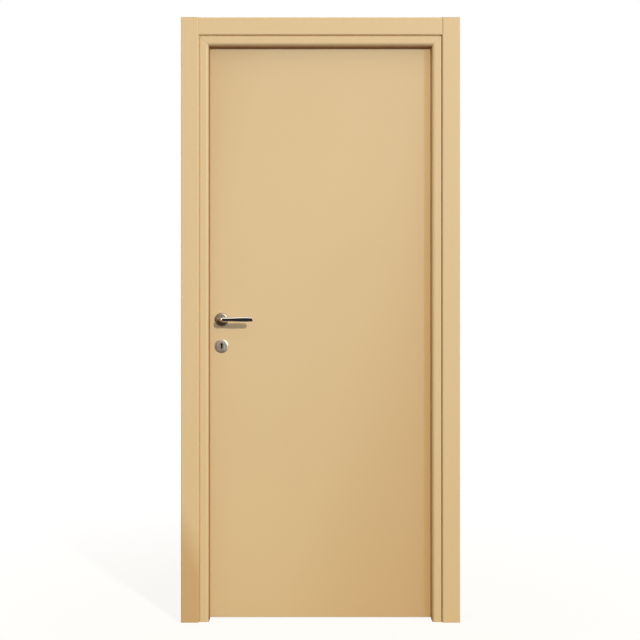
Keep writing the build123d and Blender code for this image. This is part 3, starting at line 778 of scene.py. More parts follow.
def row_tree():
    """Repeat the host's own mesh at three heights."""
    heights_in = (("Low", "Float", 0.2), ("Middle", "Float", 1.0), ("High", "Float", 1.9))
    tree, inside = new_tree("Repeat at three heights", *heights_in)
    points = add(tree, "GeometryNodePoints", {"Count": 3}).outputs[0]
    heights = add(tree, "GeometryNodeIndexSwitch", data_type="FLOAT")
    heights.index_switch_items.new()
    tree.links.new(tree.nodes.new("GeometryNodeInputIndex").outputs[0], heights.inputs["Index"])
    for place, (name, *_) in enumerate(heights_in, start=1):
        tree.links.new(inside[name], heights.inputs[place])
    spot = add(tree, "ShaderNodeCombineXYZ", {"Z": heights.outputs[0]}).outputs[0]
    placed = add(tree, "GeometryNodeSetPosition", {"Geometry": points, "Position": spot}).outputs[0]
    copies = add(tree, "GeometryNodeInstanceOnPoints", {"Points": placed, "Instance": inside["Geometry"]})
    return close_tree(tree, inside, copies.outputs[0])


def screw_tree():
    """Repeat the host's own screw up a plate, each turned by its own amount about its axis."""
    tree, inside = new_tree(
        "Screws up a plate", ("Screws", "Int", 2), ("Spacing", "Float", 0.2), ("Place", "Vector", None),
        ("Facing", "Vector", None), ("Seed", "Int", 3),
    )
    step = add(tree, "ShaderNodeCombineXYZ", {"Z": inside["Spacing"]}).outputs[0]
    row = {"Count": inside["Screws"], "Start Location": inside["Place"], "Offset": step}
    line = add(tree, "GeometryNodeMeshLine", row).outputs[0]
    spin = add(tree, "FunctionNodeRandomValue", {"Seed": inside["Seed"], 3: math.pi}, data_type="FLOAT")
    turn = add(tree, "ShaderNodeCombineXYZ", {"Z": spin.outputs[1]}).outputs[0]
    copies = add(tree, "GeometryNodeInstanceOnPoints", {"Points": line, "Instance": inside["Geometry"]}).outputs[0]
    faced = add(tree, "GeometryNodeRotateInstances", {"Instances": copies, "Rotation": inside["Facing"]}).outputs[0]
    own_turn = {"Instances": faced, "Rotation": turn, "Local Space": True}
    return close_tree(tree, inside, add(tree, "GeometryNodeRotateInstances", own_turn).outputs[0])


def seal_tree():
    """Sweep a domed seal along the host's edges, with the corners turned on a small radius."""
    tree, inside = new_tree(
        "Seal along a path", ("Width", "Float", 0.004), ("Height", "Float", 0.006), ("Corner", "Float", 0.004)
    )
    path = add(tree, "GeometryNodeMeshToCurve", {"Mesh": inside["Geometry"]}).outputs[0]
    corner = {"Curve": path, "Radius": inside["Corner"], "Count": 8, "Limit Radius": True}
    eased = add(tree, "GeometryNodeFilletCurve", corner, mode="POLY").outputs[0]
    upright = add(tree, "GeometryNodeSetCurveNormal", {"Curve": eased, "Normal": (0.0, 1.0, 0.0)}, mode="FREE")
    section = {"Width": inside["Width"], "Height": inside["Height"]}
    outline = add(tree, "GeometryNodeCurvePrimitiveQuadrilateral", section).outputs[0]
    dome = {"Curve": outline, "Radius": maths(tree, "MULTIPLY", inside["Width"], 0.22), "Count": 5}
    soft = add(tree, "GeometryNodeFilletCurve", dome, mode="POLY").outputs[0]
    run = {"Curve": upright.outputs[0], "Profile Curve": soft, "Fill Caps": True}
    return close_tree(tree, inside, add(tree, "GeometryNodeCurveToMesh", run).outputs[0])


def grow(piece, tree, finish, **values):
    """Run a tree on a piece, and keep the result as its plain mesh."""
    modifier = piece.modifiers.new("Build", "NODES")
    modifier.node_group = tree
    set_input(modifier, "Finish", finish)
    for name, value in values.items():
        set_input(modifier, name.capitalize(), value)
    settle(piece)
    if not piece.data.polygons:
        raise RuntimeError(f"{piece.name} came out empty")
    smoothed(piece.data)


# Pieces


def frame_point(side, u, y, z):
    """Give the place of a section point: side -1 is the lock side, u the distance from the centre line."""
    return Vector((CENTRE_X + side * u, y, z))


def lever_centre():
    """Give the place of the lever's axis along the width and the height."""
    handle = settings().handle
    return SKIN_LOW.x + handle.backset, handle.lever_height


class InteriorDoorBeads(Operator):
    """Make the round-nosed beads and stops: an upright on each side and one across the head, mitred together"""

    bl_idname = "interior_door.beads"
    bl_label = "Beads and stops"

    def execute(self, context):
        sizes = settings().frame_sizes
        inner = sizes.half_opening
        outer = inner + sizes.bead_width
        side = inner + sizes.rebate
        seal_out = sizes.seal_in + sizes.seal_width + inner
        seal_in = sizes.seal_in + inner
        groove = sizes.stop_back - sizes.seal_depth
        section = rounded([
            (inner, sizes.stop_back, 0.0015),
            (inner, sizes.bead_front, sizes.nose_radius),
            (outer, sizes.bead_front, sizes.bead_outer),
            (outer, -sizes.wall_half, 0.0),
            (side, -sizes.wall_half, 0.0),
            (side, sizes.stop_back, 0.0),
            (seal_out, sizes.stop_back, 0.0),
            (seal_out, groove, 0.0),
            (seal_in, groove, 0.0),
            (seal_in, sizes.stop_back, 0.0),
        ])
        lift = sizes.opening_height - inner
        # Each bead runs between two ends, given as (way, 1 if it is cut on the mitre)
        runs = (("latch", ((-1, 0), (-1, 1))), ("hinge", ((1, 0), (1, 1))), ("head", ((-1, 1), (1, 1))))
        for place, ends in runs:
            rings = [[frame_point(way, u, y, mitred * (lift + u)) for u, y in section] for way, mitred in ends]
            piece = even_normals(lofted(f"bead_{place}", rings))
            fit_out(piece, "frame", [f"{place}_stop"], bead_finish(place))
        return {"FINISHED"}


class InteriorDoorCasings(Operator):
    """Make the flat casings on both faces: full-height uprights, and a head butted between them"""

    bl_idname = "interior_door.casings"
    bl_label = "Casings"

    def execute(self, context):
        sizes = settings().frame_sizes
        lift = sizes.opening_height - sizes.half_opening
        # The casings' lacquer carries painted shade towards the lock side's foot
        finish = lacquer_finish("Casing lacquer and painted shade", CASING_SHADE_WAY, CASING_SHADE_WAY[0] * CENTRE_X, CASING_SHADE_TONES)
        for name, facing, inset in (("front", -1, sizes.front_inset), ("back", 1, sizes.back_inset)):
            inner = sizes.half_opening + inset
            outer = inner + sizes.casing_width
            root = facing * sizes.wall_half
            face = facing * (sizes.wall_half + sizes.casing_thickness)
            deep = facing * (sizes.wall_half - sizes.tongue_length)
            tongue_in = sizes.half_opening + sizes.tongue_in
            tongue_out = tongue_in + sizes.tongue_thickness
            board = [(inner, root, 0.0), (inner, face, sizes.casing_round), (outer, face, sizes.casing_round)]
            board += [(outer, root, 0.0), (tongue_out, root, 0.0), (tongue_out, deep, 0.0)]
            board += [(tongue_in, deep, 0.0), (tongue_in, root, 0.0)]
            section = rounded(board)
            flat = [spot for spot in section if facing * (spot[1] - root) > -1e-9]
            for way, place in SIDES:
                bm = bmesh.new()
                self.upright(bm, section, flat, way, sizes.opening_height + inset, lift + outer)
                piece = even_normals(new_object(f"casing_{name}_{place}", bm))
                fit_out(piece, "frame", [f"{name}_casing_{place}"], finish)
            ends = [Vector((CENTRE_X + way * inner, 0.0, 0.0)) for way in (-1, 1)]
            rings = [[end + Vector((0.0, y, lift + u)) for u, y in section] for end in ends]
            piece = even_normals(lofted(f"casing_{name}_head", rings))
            fit_out(piece, "frame", [f"{name}_casing_head"], finish)
        return {"FINISHED"}

    def upright(self, bm, section, flat, way, tongue_top, top):
        """Make one upright whose tongue stops below its top."""
        foot = [bm.verts.new(frame_point(way, u, y, 0.0)) for u, y in section]
        ledge = [bm.verts.new(frame_point(way, u, y, tongue_top)) for u, y in section]
        upper = [bm.verts.new(frame_point(way, u, y, top)) for u, y in flat]
        kept = [ledge[section.index(spot)] for spot in flat]
        tongue = [vert for vert, spot in zip(ledge, section) if spot not in flat]
        for low, high in ((foot, ledge), (kept, upper)):
            for k in range(len(low)):
                j = (k + 1) % len(low)
                bm.faces.new((low[k], low[j], high[j], high[k]))
        bm.faces.new(foot[::-1])
        bm.faces.new(upper)
        first = section.index(next(s for s in section if s not in flat))
        bm.faces.new((ledge[first - 1], *tongue, ledge[(first + len(tongue)) % len(section)]))


class InteriorDoorSeals(Operator):
    """Sweep the rubber seal up both stops and across the head"""

    bl_idname = "interior_door.seals"
    bl_label = "Seals"

    def execute(self, context):
        sizes = settings().frame_sizes
        middle = sizes.half_opening + sizes.seal_in + sizes.seal_width / 2
        deep = sizes.stop_back - sizes.seal_depth
        proud = sizes.stop_back + sizes.seal_proud
        y = (deep + proud) / 2
        lift = sizes.opening_height - sizes.half_opening
        path = [(-1, 0.0), (-1, lift + middle), (1, lift + middle), (1, 0.0)]
        mesh = bpy.data.meshes.new("seal")
        places = [frame_point(way, middle, y, z) for way, z in path]
        mesh.from_pydata([tuple(p) for p in places], [(0, 1), (1, 2), (2, 3)], [])
        piece = bpy.data.objects.new("seal", mesh)
        context.scene.collection.objects.link(piece)
        finish = rubber_finish()
        # The seal stays a hair inside its groove
        width, height = sizes.seal_width - 0.0002, proud - deep - 0.0002
        grow(piece, seal_tree(), finish, width=width, height=height, corner=0.004)
        fit_out(piece, "frame", ["latch_seal", "hinge_seal", "head_seal"], finish)
        return {"FINISHED"}


class InteriorDoorLinings(Operator):
    """Finish the jambs: lacquer where they show, primer towards the wall"""

    bl_idname = "interior_door.linings"
    bl_label = "Jamb linings"

    def execute(self, context):
        finish_nodes(lining_finish(), "latch_jamb", "hinge_jamb", "head_jamb")
        return {"FINISHED"}


class InteriorDoorSkins(Operator):
    """Make the leaf's two skins, with their holes for lever and key and their softened edges"""

    bl_idname = "interior_door.skins"
    bl_label = "Leaf skins"

    def execute(self, context):
        leaf = settings().leaf
        lever_x, lever_z = lever_centre()
        key_z = lever_z - settings().handle.key_drop - SKIN_HOLE_DROP
        holes = [
            circle(lever_x, lever_z, leaf.lever_hole),
            box_outline(lever_x, key_z, leaf.key_hole_width / 2, leaf.key_hole_height / 2, leaf.key_hole_corner),
        ]
        # The leaf's lacquer carries painted shade: darker towards its lower right and a little at its upper left
        middle = LEAF_SHADE_WAY[0] * LEAF_SHADE_WAY_FROM[0] + LEAF_SHADE_WAY[2] * LEAF_SHADE_WAY_FROM[1]
        finish = lacquer_finish("Leaf lacquer and painted shade", LEAF_SHADE_WAY, middle, LEAF_SHADE_TONES)
        boxes = ((SKIN_LOW, SKIN_HIGH, leaf.front_edge), (LIP_LOW, LIP_HIGH, leaf.back_edge))
        for (name, facing, face), (low, high, edge) in zip(FACES, boxes):
            outline = [(low.x, low.z), (high.x, low.z), (high.x, high.z), (low.x, high.z)]
            place = Matrix(((1, 0, 0, 0), (0, 0, facing, face), (0, 1, 0, 0), (0, 0, 0, 1)))
            bm = bmesh.new()
            add_plate(bm, outline, holes, leaf.skin, place, edge)
            piece = even_normals(new_object(f"skin_{name}", bm))
            fit_out(piece, "leaf", [f"{name}_skin"], finish)
        finish_nodes(finish, "lip_latch", "lip_hinge", "lip_top")
        return {"FINISHED"}


class InteriorDoorFilling(Operator):
    """Finish the leaf's timber stiles and rails and its board core"""

    bl_idname = "interior_door.filling"
    bl_label = "Leaf filling"

    def execute(self, context):
        finish_nodes(timber_finish("Upright timber", True), "lock_stile", "hinge_stile")
        finish_nodes(timber_finish("Level timber", False), "top_rail", "bottom_rail")
        finish_nodes(board_finish(), "core")
        return {"FINISHED"}


def barrel_profile(radius, length, cap=BARREL_CAP):
    """Give the profile of a barrel half: chamfered and grooved at the joint, and rounded at its outer end."""
    profile = [(0.0, 0.0), (radius - 0.0006, 0.0), (radius, 0.0006), (radius, 0.0034), (radius - 0.0004, 0.0038)]
    profile += [(radius - 0.0004, 0.0046), (radius, 0.0050), (radius, length - cap)]
    for k in range(1, ARC_STEPS):
        turn = math.pi / 2 * k / ARC_STEPS
        profile.append((radius - cap * (1 - math.cos(turn)), length - cap * (1 - math.sin(turn))))
    profile += [(radius - cap, length), (0.0, length)]
    return profile


class InteriorDoorHinges(Operator):
    """Make the barrel hinges: halves on the frame with their pins, and halves on the leaf, at three heights"""

    bl_idname = "interior_door.hinges"
    bl_label = "Hinges"

    def execute(self, context):
        sizes = settings().hinges
        finish = brushed_finish("Hinge metal", tuple(settings().colours.steel), 0.30)
        tree = row_tree()
        axis = Vector((sizes.axis_x, sizes.axis_y, 0.0))
        barrel = barrel_profile(sizes.barrel_radius, sizes.barrel_length)
        reach, radius, pin_radius = sizes.stem_length, sizes.stem_radius, sizes.pin_radius
        stem = [(0.0, 0.0), (radius, 0.0), (radius, reach - 0.003), (radius - 0.0015, reach), (0.0, reach)]
        pin = [(0.0, 0.0), (pin_radius, 0.0), (pin_radius, PIN_SHOULDER), (PIN_TIP_RADIUS, PIN_END), (0.0, PIN_END)]
        slanted = Vector((-math.cos(LEAF_STEM_SLANT), -math.sin(LEAF_STEM_SLANT), 0.0))
        for body, way, stem_way in (("frame", -1, Vector((0.0, -1.0, 0.0))), ("leaf", 1, slanted)):
            bm = bmesh.new()
            add_turned(bm, barrel, axis + UP * way * HINGE_GAP, UP * way, ACROSS)
            add_turned(bm, stem, axis + UP * way * sizes.stem_height, stem_way, UP, 32)
            if body == "frame":
                add_turned(bm, BUSH_PROFILE, axis, UP, ACROSS, 48)
                add_turned(bm, pin, axis, UP, ACROSS, 32)
            piece = new_object(f"hinge_halves_{body}", bm)
            grow(piece, tree, finish, low=sizes.low, middle=sizes.middle, high=sizes.high)
            fit_out(piece, body, [f"hinge_{body}_{number}" for number in (1, 2, 3)], finish)
        return {"FINISHED"}


def side_place(x, y, facing):
    """Place a plate drawn as (depth, height) on a plane across the door's width, facing that way."""
    return Matrix(((0, 0, facing, x), (1, 0, 0, y), (0, 1, 0, 0), (0, 0, 0, 1)))


class InteriorDoorLock(Operator):
    """Make the lock's faceplate and the strike plate with their screws, and finish the bolts and the case"""

    bl_idname = "interior_door.lock"
    bl_label = "Lock and strike"

    def execute(self, context):
        lock = settings().lock
        handle = settings().handle
        steel = brushed_finish("Lock steel", tuple(settings().colours.steel), 0.34)
        lever_z = handle.lever_height
        bolt_z = lever_z - handle.key_drop - lock.bolt_drop
        # Each plate with the room round the bolts, above and below them, and beside the dead bolt
        plates = (
            ("faceplate", "lock_faceplate", "leaf", FACEPLATE_LOW, FACEPLATE_HIGH, -1, 0.0002, 0.0002),
            ("strike", "strike_plate", "frame", STRIKE_LOW, STRIKE_HIGH, 1, 0.0020, 0.0015),
        )
        tree = screw_tree()
        for (name, node, body, low, high, facing, room, side_room), spacing in zip(
            plates, (lock.faceplate_screws, lock.strike_screws)
        ):
            middle_y = (low.y + high.y) / 2
            middle_z = (low.z + high.z) / 2
            bolt_y = LOCK_Y - middle_y
            screw_y = 0.0 if name == "strike" else bolt_y
            outline = slot_outline(0.0, middle_z, (high.y - low.y) / 2, (high.z - low.z) / 2)
            holes = [
                box_outline(bolt_y, lever_z, lock.latch_width / 2 + room / 4, lock.latch_height / 2 + room, 0.0010),
                box_outline(bolt_y, bolt_z, lock.bolt_width / 2 + side_room, lock.bolt_height / 2 + room, 0.0010),
            ]
            holes += [circle(screw_y, middle_z + way * spacing / 2, SCREW_HOLE, 32) for way in (-1, 1)]
            face = low.x if facing < 0 else high.x
            bm = bmesh.new()
            add_plate(bm, outline, holes, high.x - low.x, side_place(face, middle_y, facing), 0.0004, 2)
            plate = even_normals(new_object(name, bm))
            fit_out(plate, body, [node], steel)
            screw = self.screw(f"{name}_screws", lock.screw_head)
            grow(
                screw, tree, steel, screws=2, spacing=spacing, seed=5,
                place=(face, middle_y if name == "strike" else LOCK_Y, middle_z - spacing / 2),
                facing=(0.0, facing * math.pi / 2, 0.0),
            )
            fit_out(screw, body, [], steel)
        finish_nodes(steel, "latch_bolt", "dead_bolt", "lock_case", "spindle")
        return {"FINISHED"}

    def screw(self, name, head):
        """Make one countersunk cross-slot screw, its head's top just above height 0 and its axis along Z."""
        profile = [(0.0, -0.014), (0.0008, -0.013), (0.0019, -0.0024), (head * 0.98, -0.0001), (head * 0.9, 0.0002)]
        profile += [(head * 0.45, 0.0003), (0.0, 0.0003)]
        piece = turned(name, profile, Vector((0.0, 0.0, 0.0)), UP, 32)
        for turn in (0.0, math.pi / 2):
            slot_bm = bmesh.new()
            bmesh.ops.create_cube(slot_bm, size=1.0)
            shape = Matrix.Diagonal((head * 1.15, 0.0009, 0.0016, 1.0))
            slot_bm.transform(Matrix.Translation((0.0, 0.0, 0.0004)) @ Matrix.Rotation(turn, 4, "Z") @ shape)
            cut(piece, new_object("slot_tool", slot_bm))
        return piece


class InteriorDoorRosettes(Operator):
    """Turn the two round rosettes behind the levers"""

    bl_idname = "interior_door.rosettes"
    bl_label = "Rosettes"

    def execute(self, context):
        handle = settings().handle
        x, z = lever_centre()
        radius, thick, bore = handle.rose_radius, handle.rose_thickness, handle.rose_bore
        profile = [(bore, 0.0), (radius - 0.0003, 0.0), (radius, 0.0003), (radius, 0.0024)]
        middle = Vector((radius - 0.0024, thick - 0.0020))
        shoulder = bowed(Vector((radius, 0.0025)), middle, Vector((radius - 0.0075, thick)), 12)
        profile += [(min(spot.x, radius), min(spot.y, thick)) for spot in shoulder]
        profile += [(bore + 0.0030, thick), (bore + 0.0026, thick - 0.0004), (bore + 0.0008, thick - 0.0004)]
        profile += [(bore, thick - 0.0008), (bore, 0.0)]
        tone = tuple(settings().colours.rosette)
        finish = brushed_finish("Rosette metal", tone, 0.50, (360.0, 360.0, 360.0))
        for name, facing, face in FACES:
            centre, axis = Vector((x, face, z)), Vector((0.0, facing, 0.0))
            piece = even_normals(turned(f"rose_{name}", profile, centre, axis, sharp_from=TURNED_SHARP_FROM))
            fit_out(piece, "leaf", [f"rosette_{name}"], finish)
        return {"FINISHED"}


class InteriorDoorKeyPlates(Operator):
    """Turn the key plates, raise their oval bosses and cut the keyholes through"""

    bl_idname = "interior_door.key_plates"
    bl_label = "Key plates"

    def execute(self, context):
        handle = settings().handle
        x, lever_z = lever_centre()
        key_z = lever_z - handle.key_drop
        z = key_z - handle.plate_drop
        radius = handle.rose_radius
        rim = bowed(Vector((radius, 0.0018)), Vector((0.0234, 0.0040)), Vector((0.0190, 0.0050)), 8)
        profile = [(0.0, 0.0), (radius - 0.0003, 0.0), (radius, 0.0003), (radius, 0.0017)]
        profile += [(spot.x, spot.y) for spot in rim]
        profile += [(0.0185, 0.0056), (0.0180, 0.0056), (0.0, 0.0056)]
        outline = self.keyhole(x, key_z)
        finish = brushed_finish("Key plate metal", tuple(settings().colours.satin), 0.46, (900.0, 90.0, 900.0))
        # The keyhole's walls and the lock levers get painted shade
        wall = keyhole_shade_finish()
        for name, facing, face in FACES:
            centre, axis = Vector((x, face, z)), Vector((0.0, facing, 0.0))
            piece = turned(f"key_plate_{name}", profile, centre, axis, sharp_from=TURNED_SHARP_FROM)
            rings = [self.boss_ring(x, face + facing * lift, z, shrink) for lift, shrink in BOSS_RINGS]
            cut(piece, lofted("boss_tool", rings), "UNION")
            ends = [[Vector((px, face + facing * lift, pz)) for px, pz in outline] for lift in (-0.003, 0.012)]
            cut(piece, lofted("keyhole_tool", ends))
            inside = self.hole_faces(piece.data, outline)
            smoothed(piece.data, TURNED_SHARP_FROM)
            even_normals(piece)
            fit_out(piece, "leaf", [f"key_escutcheon_{name}"], finish)
            piece.data.materials.append(wall)
            for index in inside:
                piece.data.polygons[index].material_index = 1
        self.lock_levers(x, key_z, wall)
        return {"FINISHED"}

    def boss_ring(self, x, y, z, shrink):
        """Give one oval ring of the boss."""
        half_width, half_height = (half - shrink for half in BOSS_HALVES)
        turns = [math.tau * k / TURN_STEPS for k in range(TURN_STEPS)]
        return [Vector((x + half_width * math.cos(a), y, z + half_height * math.sin(a))) for a in turns]

    def lock_levers(self, x, z, wall):
        """Stack the lock levers that close the keyhole halfway through the lock, in the keyhole's painted shade."""
        outline = self.keyhole(x, z - 0.0004, 0.0001)
        bm = bmesh.new()
        for first in LOCK_LEVERS_Y:
            ends = (first, first + LOCK_LEVER_THICKNESS)
            add_loft(bm, [[Vector((px, y, pz)) for px, pz in outline] for y in ends])
        fit_out(new_object("lock_levers", bm), "leaf", [], wall)

    def hole_faces(self, mesh, outline):
        """Give the faces of the keyhole's walls: those whose corners all lie on its outline."""
        rim = [Vector(spot) for spot in outline]
        found = []
        for polygon in mesh.polygons:
            if abs(polygon.normal.y) > 0.2:
                continue
            spots = [Vector((mesh.vertices[v].co.x, mesh.vertices[v].co.z)) for v in polygon.vertices]
            if all(min((spot - edge).length for edge in rim) < 2e-5 for spot in spots):
                found.append(polygon.index)
        return found

    def keyhole(self, x, z, wider=0.0):
        """Give the outline of a keyhole: a round top, a straight slot and a round foot."""
        top, slot, foot = (part + wider for part in KEYHOLE)
        points = []
        for radius, height, turn, steps in (
            (top, z, -math.pi / 2, 24),
            (foot, z - KEYHOLE_LENGTH, math.pi / 2, 16),
        ):
            opening = math.asin(slot / radius)
            for k in range(steps + 1):
                a = turn + opening + (math.tau - 2 * opening) * k / steps
                points.append((x + radius * math.cos(a), height + radius * math.sin(a)))
        return points


class InteriorDoorLevers(Operator):
    """Sweep the levers: a round neck, a tight bend, and an oval grip that swells towards its rounded tip"""

    bl_idname = "interior_door.levers"
    bl_label = "Levers"

    steps_round: IntProperty(name="Steps round", description="Points round the grip", default=56, min=8, max=256)

    def execute(self, context):
        finish = polished_finish()
        for name, facing, face in FACES:
            piece = lofted(f"handle_{name}", self.rings(facing, face), LEVER_SHARP_FROM)
            fit_out(piece, "lever_set", [f"lever_{name}"], finish)
        return {"FINISHED"}

    def ring(self, centre, side, half_side, half_height):
        """Give one oval ring, its height along Z and its width along side."""
        ring = []
        for k in range(self.steps_round):
            a = math.tau * k / self.steps_round
            ring.append(centre + side * half_side * math.cos(a) + Vector((0.0, 0.0, half_height * math.sin(a))))
        return ring

    def rings(self, facing, face):
        """Give the rings from the neck's foot to the tip."""
        handle = settings().handle
        x, z = lever_centre()
        base = face + facing * 0.001
        out = face + facing * handle.reach
        bend, neck = handle.bend, handle.neck_radius
        outward = Vector((0.0, -facing, 0.0))
        start_y = out - facing * bend
        rings = [self.ring(Vector((x, y, z)), ACROSS, neck, neck) for y in (base, base + facing * 0.012, start_y)]
        for k in range(1, 13):
            a = math.pi / 2 * k / 12
            centre = Vector((x + bend * (1 - math.cos(a)), start_y + facing * bend * math.sin(a), z))
            side = ACROSS * math.cos(a) + outward * math.sin(a)
            rings.append(self.ring(centre, side, neck + (GRIP[0][2] - neck) * (k / 12), neck))
        grip = (*GRIP, (handle.grip_length, *GRIP_TIP))
        steps = 24
        tip_from = handle.grip_length - handle.tip_round
        for k in range(1, steps + 1):
            reach = grip[0][0] + (tip_from - grip[0][0]) * k / steps
            rise, half_depth, half_height = self.between(grip, reach)
            rings.append(self.ring(Vector((x + reach, out, z + rise)), outward, half_depth, half_height))
        rise, half_depth, half_height = self.between(grip, tip_from)
        for k in range(1, 10):
            a = math.pi / 2 * k / 10
            pull = handle.tip_round * (1 - math.cos(a)) * 0.92
            centre = Vector((x + tip_from + handle.tip_round * math.sin(a), out, z + rise))
            rings.append(self.ring(centre, outward, half_depth - pull, half_height - pull))
        return rings

    def between(self, grip, reach):
        """Give rise and half sizes at a reach, eased between the grip's sections."""
        for index in range(len(grip) - 1):
            if reach <= grip[index + 1][0]:
                break
        before = grip[max(index - 1, 0)]
        low, high = grip[index], grip[index + 1]
        after = grip[min(index + 2, len(grip) - 1)]
        span = high[0] - low[0]
        t = (reach - low[0]) / span
        values = []
        for item in (1, 2, 3):
            slope_low = (high[item] - before[item]) / max(high[0] - before[0], 1e-9) * span
            slope_high = (after[item] - low[item]) / max(after[0] - low[0], 1e-9) * span
            h00, h10 = 2 * t**3 - 3 * t**2 + 1, t**3 - 2 * t**2 + t
            h01, h11 = -2 * t**3 + 3 * t**2, t**3 - t**2
            values.append(h00 * low[item] + h10 * slope_low + h01 * high[item] + h11 * slope_high)
        return values


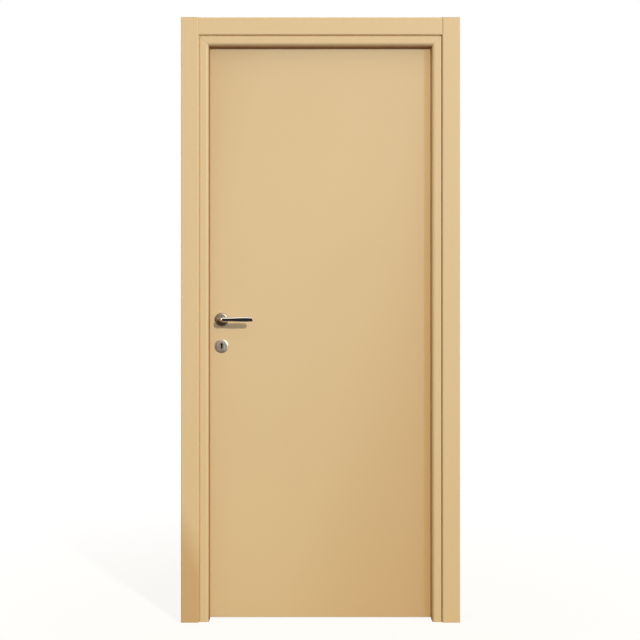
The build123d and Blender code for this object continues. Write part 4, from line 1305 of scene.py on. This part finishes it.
class InteriorDoorStudio(Operator):
    """Set up the pale floor, the cards that metal mirrors, the even light, the four lamps and the camera"""

    bl_idname = "interior_door.studio"
    bl_label = "Studio"

    def execute(self, context):
        studio = settings().studio
        self.floor(studio)
        self.surround(studio)
        self.world(studio)
        self.lamps(studio)
        self.camera(studio)
        context.scene.view_settings.view_transform = "Standard"
        return {"FINISHED"}

    def seen(self, tree):
        """Give 1 for rays from the camera and for those that metal or glass mirrors."""
        path = add(tree, "ShaderNodeLightPath").outputs
        direct = maths(tree, "MAXIMUM", path["Is Camera Ray"], path["Is Glossy Ray"])
        return maths(tree, "MAXIMUM", direct, path["Is Transmission Ray"])

    def bare_finish(self, name):
        """Start a finish with an empty tree."""
        finish = bpy.data.materials.new(name)
        finish.use_nodes = True
        finish.node_tree.nodes.clear()
        return finish, finish.node_tree

    def floor(self, studio):
        """Lay the floor: matt under the door, and fading to plain white away from it."""
        mesh = bpy.data.meshes.new("floor")
        bm = bmesh.new()
        bmesh.ops.create_grid(bm, x_segments=1, y_segments=1, size=40.0)
        bm.transform(Matrix.Translation((CENTRE_X, 0.0, -0.0002)))
        bm.to_mesh(mesh)
        bm.free()
        floor = bpy.data.objects.new("floor", mesh)
        bpy.context.scene.collection.objects.link(floor)
        finish, tree = self.bare_finish("Pale floor")
        seen = self.seen(tree)
        tone = mix(tree, seen, (studio.floor_bounce,) * 3, (0.93, 0.93, 0.93))
        matt = add(tree, "ShaderNodeBsdfDiffuse", {"Color": tone}).outputs[0]
        glow = add(tree, "ShaderNodeEmission", {"Color": (1.0, 1.0, 1.0, 1.0), "Strength": 1.05}).outputs[0]
        away = vector_maths(tree, "LENGTH", from_middle(tree, object_coords(tree)))
        fade = maths(tree, "MULTIPLY", spread(tree, away, 0.8, 3.0, 0.8, 1.0), seen)
        both = add(tree, "ShaderNodeMixShader", {0: fade, 1: matt, 2: glow}).outputs[0]
        add(tree, "ShaderNodeOutputMaterial", {"Surface": both})
        mesh.materials.append(finish)

    def surround(self, studio):
        """Stand dark cards round the door, with a strip at each side and a bright band above, for metal alone."""
        top = studio.surround_height + studio.band_height
        profile = [(0.0, 0.001), (studio.surround_radius, 0.001), (studio.surround_radius, top)]
        cards = turned("dark_cards", profile, Vector((CENTRE_X, 0.0, 0.0)), UP, 48)
        finish, tree = self.bare_finish("Dark card")
        coords = object_coords(tree)
        level = vector_maths(tree, "MULTIPLY", from_middle(tree, coords), (1.0, 1.0, 0.0))
        outward = vector_maths(tree, "NORMALIZE", level)
        ahead = vector_maths(tree, "DOT_PRODUCT", outward, (0.0, -1.0, 0.0))
        sides = spread(tree, ahead, 0.1, 0.75, studio.surround_back, studio.surround)
        for turn, bright in ((LEFT_STRIP_TURN, studio.strip_left), (RIGHT_STRIP_TURN, studio.strip_right)):
            toward = vector_maths(tree, "DOT_PRODUCT", outward, (math.sin(turn), -math.cos(turn), 0.0))
            sides = maths(tree, "MAXIMUM", sides, spread(tree, toward, 0.955, 0.985, 0.0, bright))
        height = add(tree, "ShaderNodeSeparateXYZ", {"Vector": coords}).outputs["Z"]
        sides = spread(tree, height, 0.3, 0.6, studio.surround_floor, sides)
        upper = spread(tree, height, studio.surround_height - 0.2, studio.surround_height + 0.2, 0.0, studio.band)
        glow = {"Color": (1.0, 0.95, 0.9, 1.0), "Strength": maths(tree, "MAXIMUM", sides, upper)}
        card = add(tree, "ShaderNodeEmission", glow).outputs[0]
        add(tree, "ShaderNodeOutputMaterial", {"Surface": card})
        cards.data.materials.append(finish)
        cards.visible_camera = False
        cards.visible_diffuse = False
        cards.visible_shadow = False

    def world(self, studio):
        """Light everything evenly, and show white to the camera and in metal."""
        world = bpy.data.worlds.new("Studio light")
        bpy.context.scene.world = world
        world.use_nodes = True
        tree = world.node_tree
        tree.nodes.clear()
        even = tuple(studio.ambient * part for part in studio.ambient_tone)
        light = mix(tree, self.seen(tree), even, (1.0, 1.0, 1.0))
        sky = add(tree, "ShaderNodeBackground", {"Color": light, "Strength": 1.0}).outputs[0]
        add(tree, "ShaderNodeOutputWorld", {"Surface": sky})

    def lamps(self, studio):
        """Hang the lamps: the upper one passes some pieces, the edge one lights the frame, the back one the door."""
        names = ("Door", "Shading pieces", "Frame pieces")
        door, shading, edges = (bpy.data.collections.new(name) for name in names)
        for piece in bpy.context.scene.objects:
            if piece.type != "MESH" or piece.name in ("floor", "dark_cards"):
                continue
            door.objects.link(piece)
            if piece.name.startswith(("bead_", "casing_")):
                edges.objects.link(piece)
            if not piece.name.startswith(UPPER_LAMP_PASSES):
                shading.objects.link(piece)
        for name, energy, tone, toward, lit, blockers in (
            ("side_lamp", studio.side_light, studio.side_tone, Vector((0.51, -1.0, 0.0)), None, None),
            ("upper_lamp", studio.upper_light, studio.upper_tone, Vector((0.58, -1.0, 0.50)), None, shading),
            ("edge_lamp", studio.edge_light, studio.upper_tone, Vector((-1.0, -0.08, 0.0)), edges, None),
            ("back_lamp", studio.back_light, (1.0, 1.0, 1.0), Vector((-0.50, 1.0, 0.45)), door, None),
        ):
            light = bpy.data.lights.new(name, "SUN")
            light.energy = energy
            light.color = tone
            light.angle = math.radians(4.0)
            lamp = bpy.data.objects.new(name, light)
            lamp.rotation_euler = toward.to_track_quat("Z", "Y").to_euler()
            lamp.location = toward.normalized() * 4.0 + Vector((CENTRE_X, 0.0, 1.1))
            bpy.context.scene.collection.objects.link(lamp)
            lamp.visible_glossy = name != "side_lamp"
            lamp.light_linking.receiver_collection = lit
            lamp.light_linking.blocker_collection = blockers

    def camera(self, studio):
        """Place the camera square on to the door, with the lens that gives the view's width at the bead's face."""
        lens = bpy.data.cameras.new("camera")
        camera = bpy.data.objects.new("camera", lens)
        bpy.context.scene.collection.objects.link(camera)
        camera.location = (CENTRE_X - 0.002, -studio.camera_distance, studio.camera_height)
        camera.rotation_euler = (math.pi / 2, 0.0, 0.0)
        distance = studio.camera_distance + STOP_LOW.y
        lens.lens = lens.sensor_width * distance / studio.view_width
        lens.dof.use_dof = False
        bpy.context.scene.camera = camera


OPERATORS = (
    InteriorDoorLinings,
    InteriorDoorBeads,
    InteriorDoorCasings,
    InteriorDoorSeals,
    InteriorDoorSkins,
    InteriorDoorFilling,
    InteriorDoorHinges,
    InteriorDoorLock,
    InteriorDoorRosettes,
    InteriorDoorKeyPlates,
    InteriorDoorLevers,
    InteriorDoorStudio,
)


class InteriorDoorPanel(Panel):
    """List the steps that build the door"""

    bl_idname = "VIEW3D_PT_interior_door"
    bl_label = "Interior door"
    bl_space_type = "VIEW_3D"
    bl_region_type = "UI"
    bl_category = "Door"

    def draw(self, context):
        for step in OPERATORS:
            self.layout.operator(step.bl_idname, text=step.bl_label)


CLASSES = (
    FrameSizes,
    LeafSizes,
    HandleSizes,
    HingeSizes,
    LockSizes,
    DoorColours,
    StudioSettings,
    DoorSettings,
    *OPERATORS,
    InteriorDoorPanel,
)


def register():
    for item in CLASSES:
        bpy.utils.register_class(item)
    bpy.types.Scene.interior_door = PointerProperty(type=DoorSettings)


def unregister():
    del bpy.types.Scene.interior_door
    for item in reversed(CLASSES):
        bpy.utils.unregister_class(item)


def main():
    register()
    for step in OPERATORS:
        group, name = step.bl_idname.split(".")
        getattr(getattr(bpy.ops, group), name)()


if __name__ == "__main__":
    main()
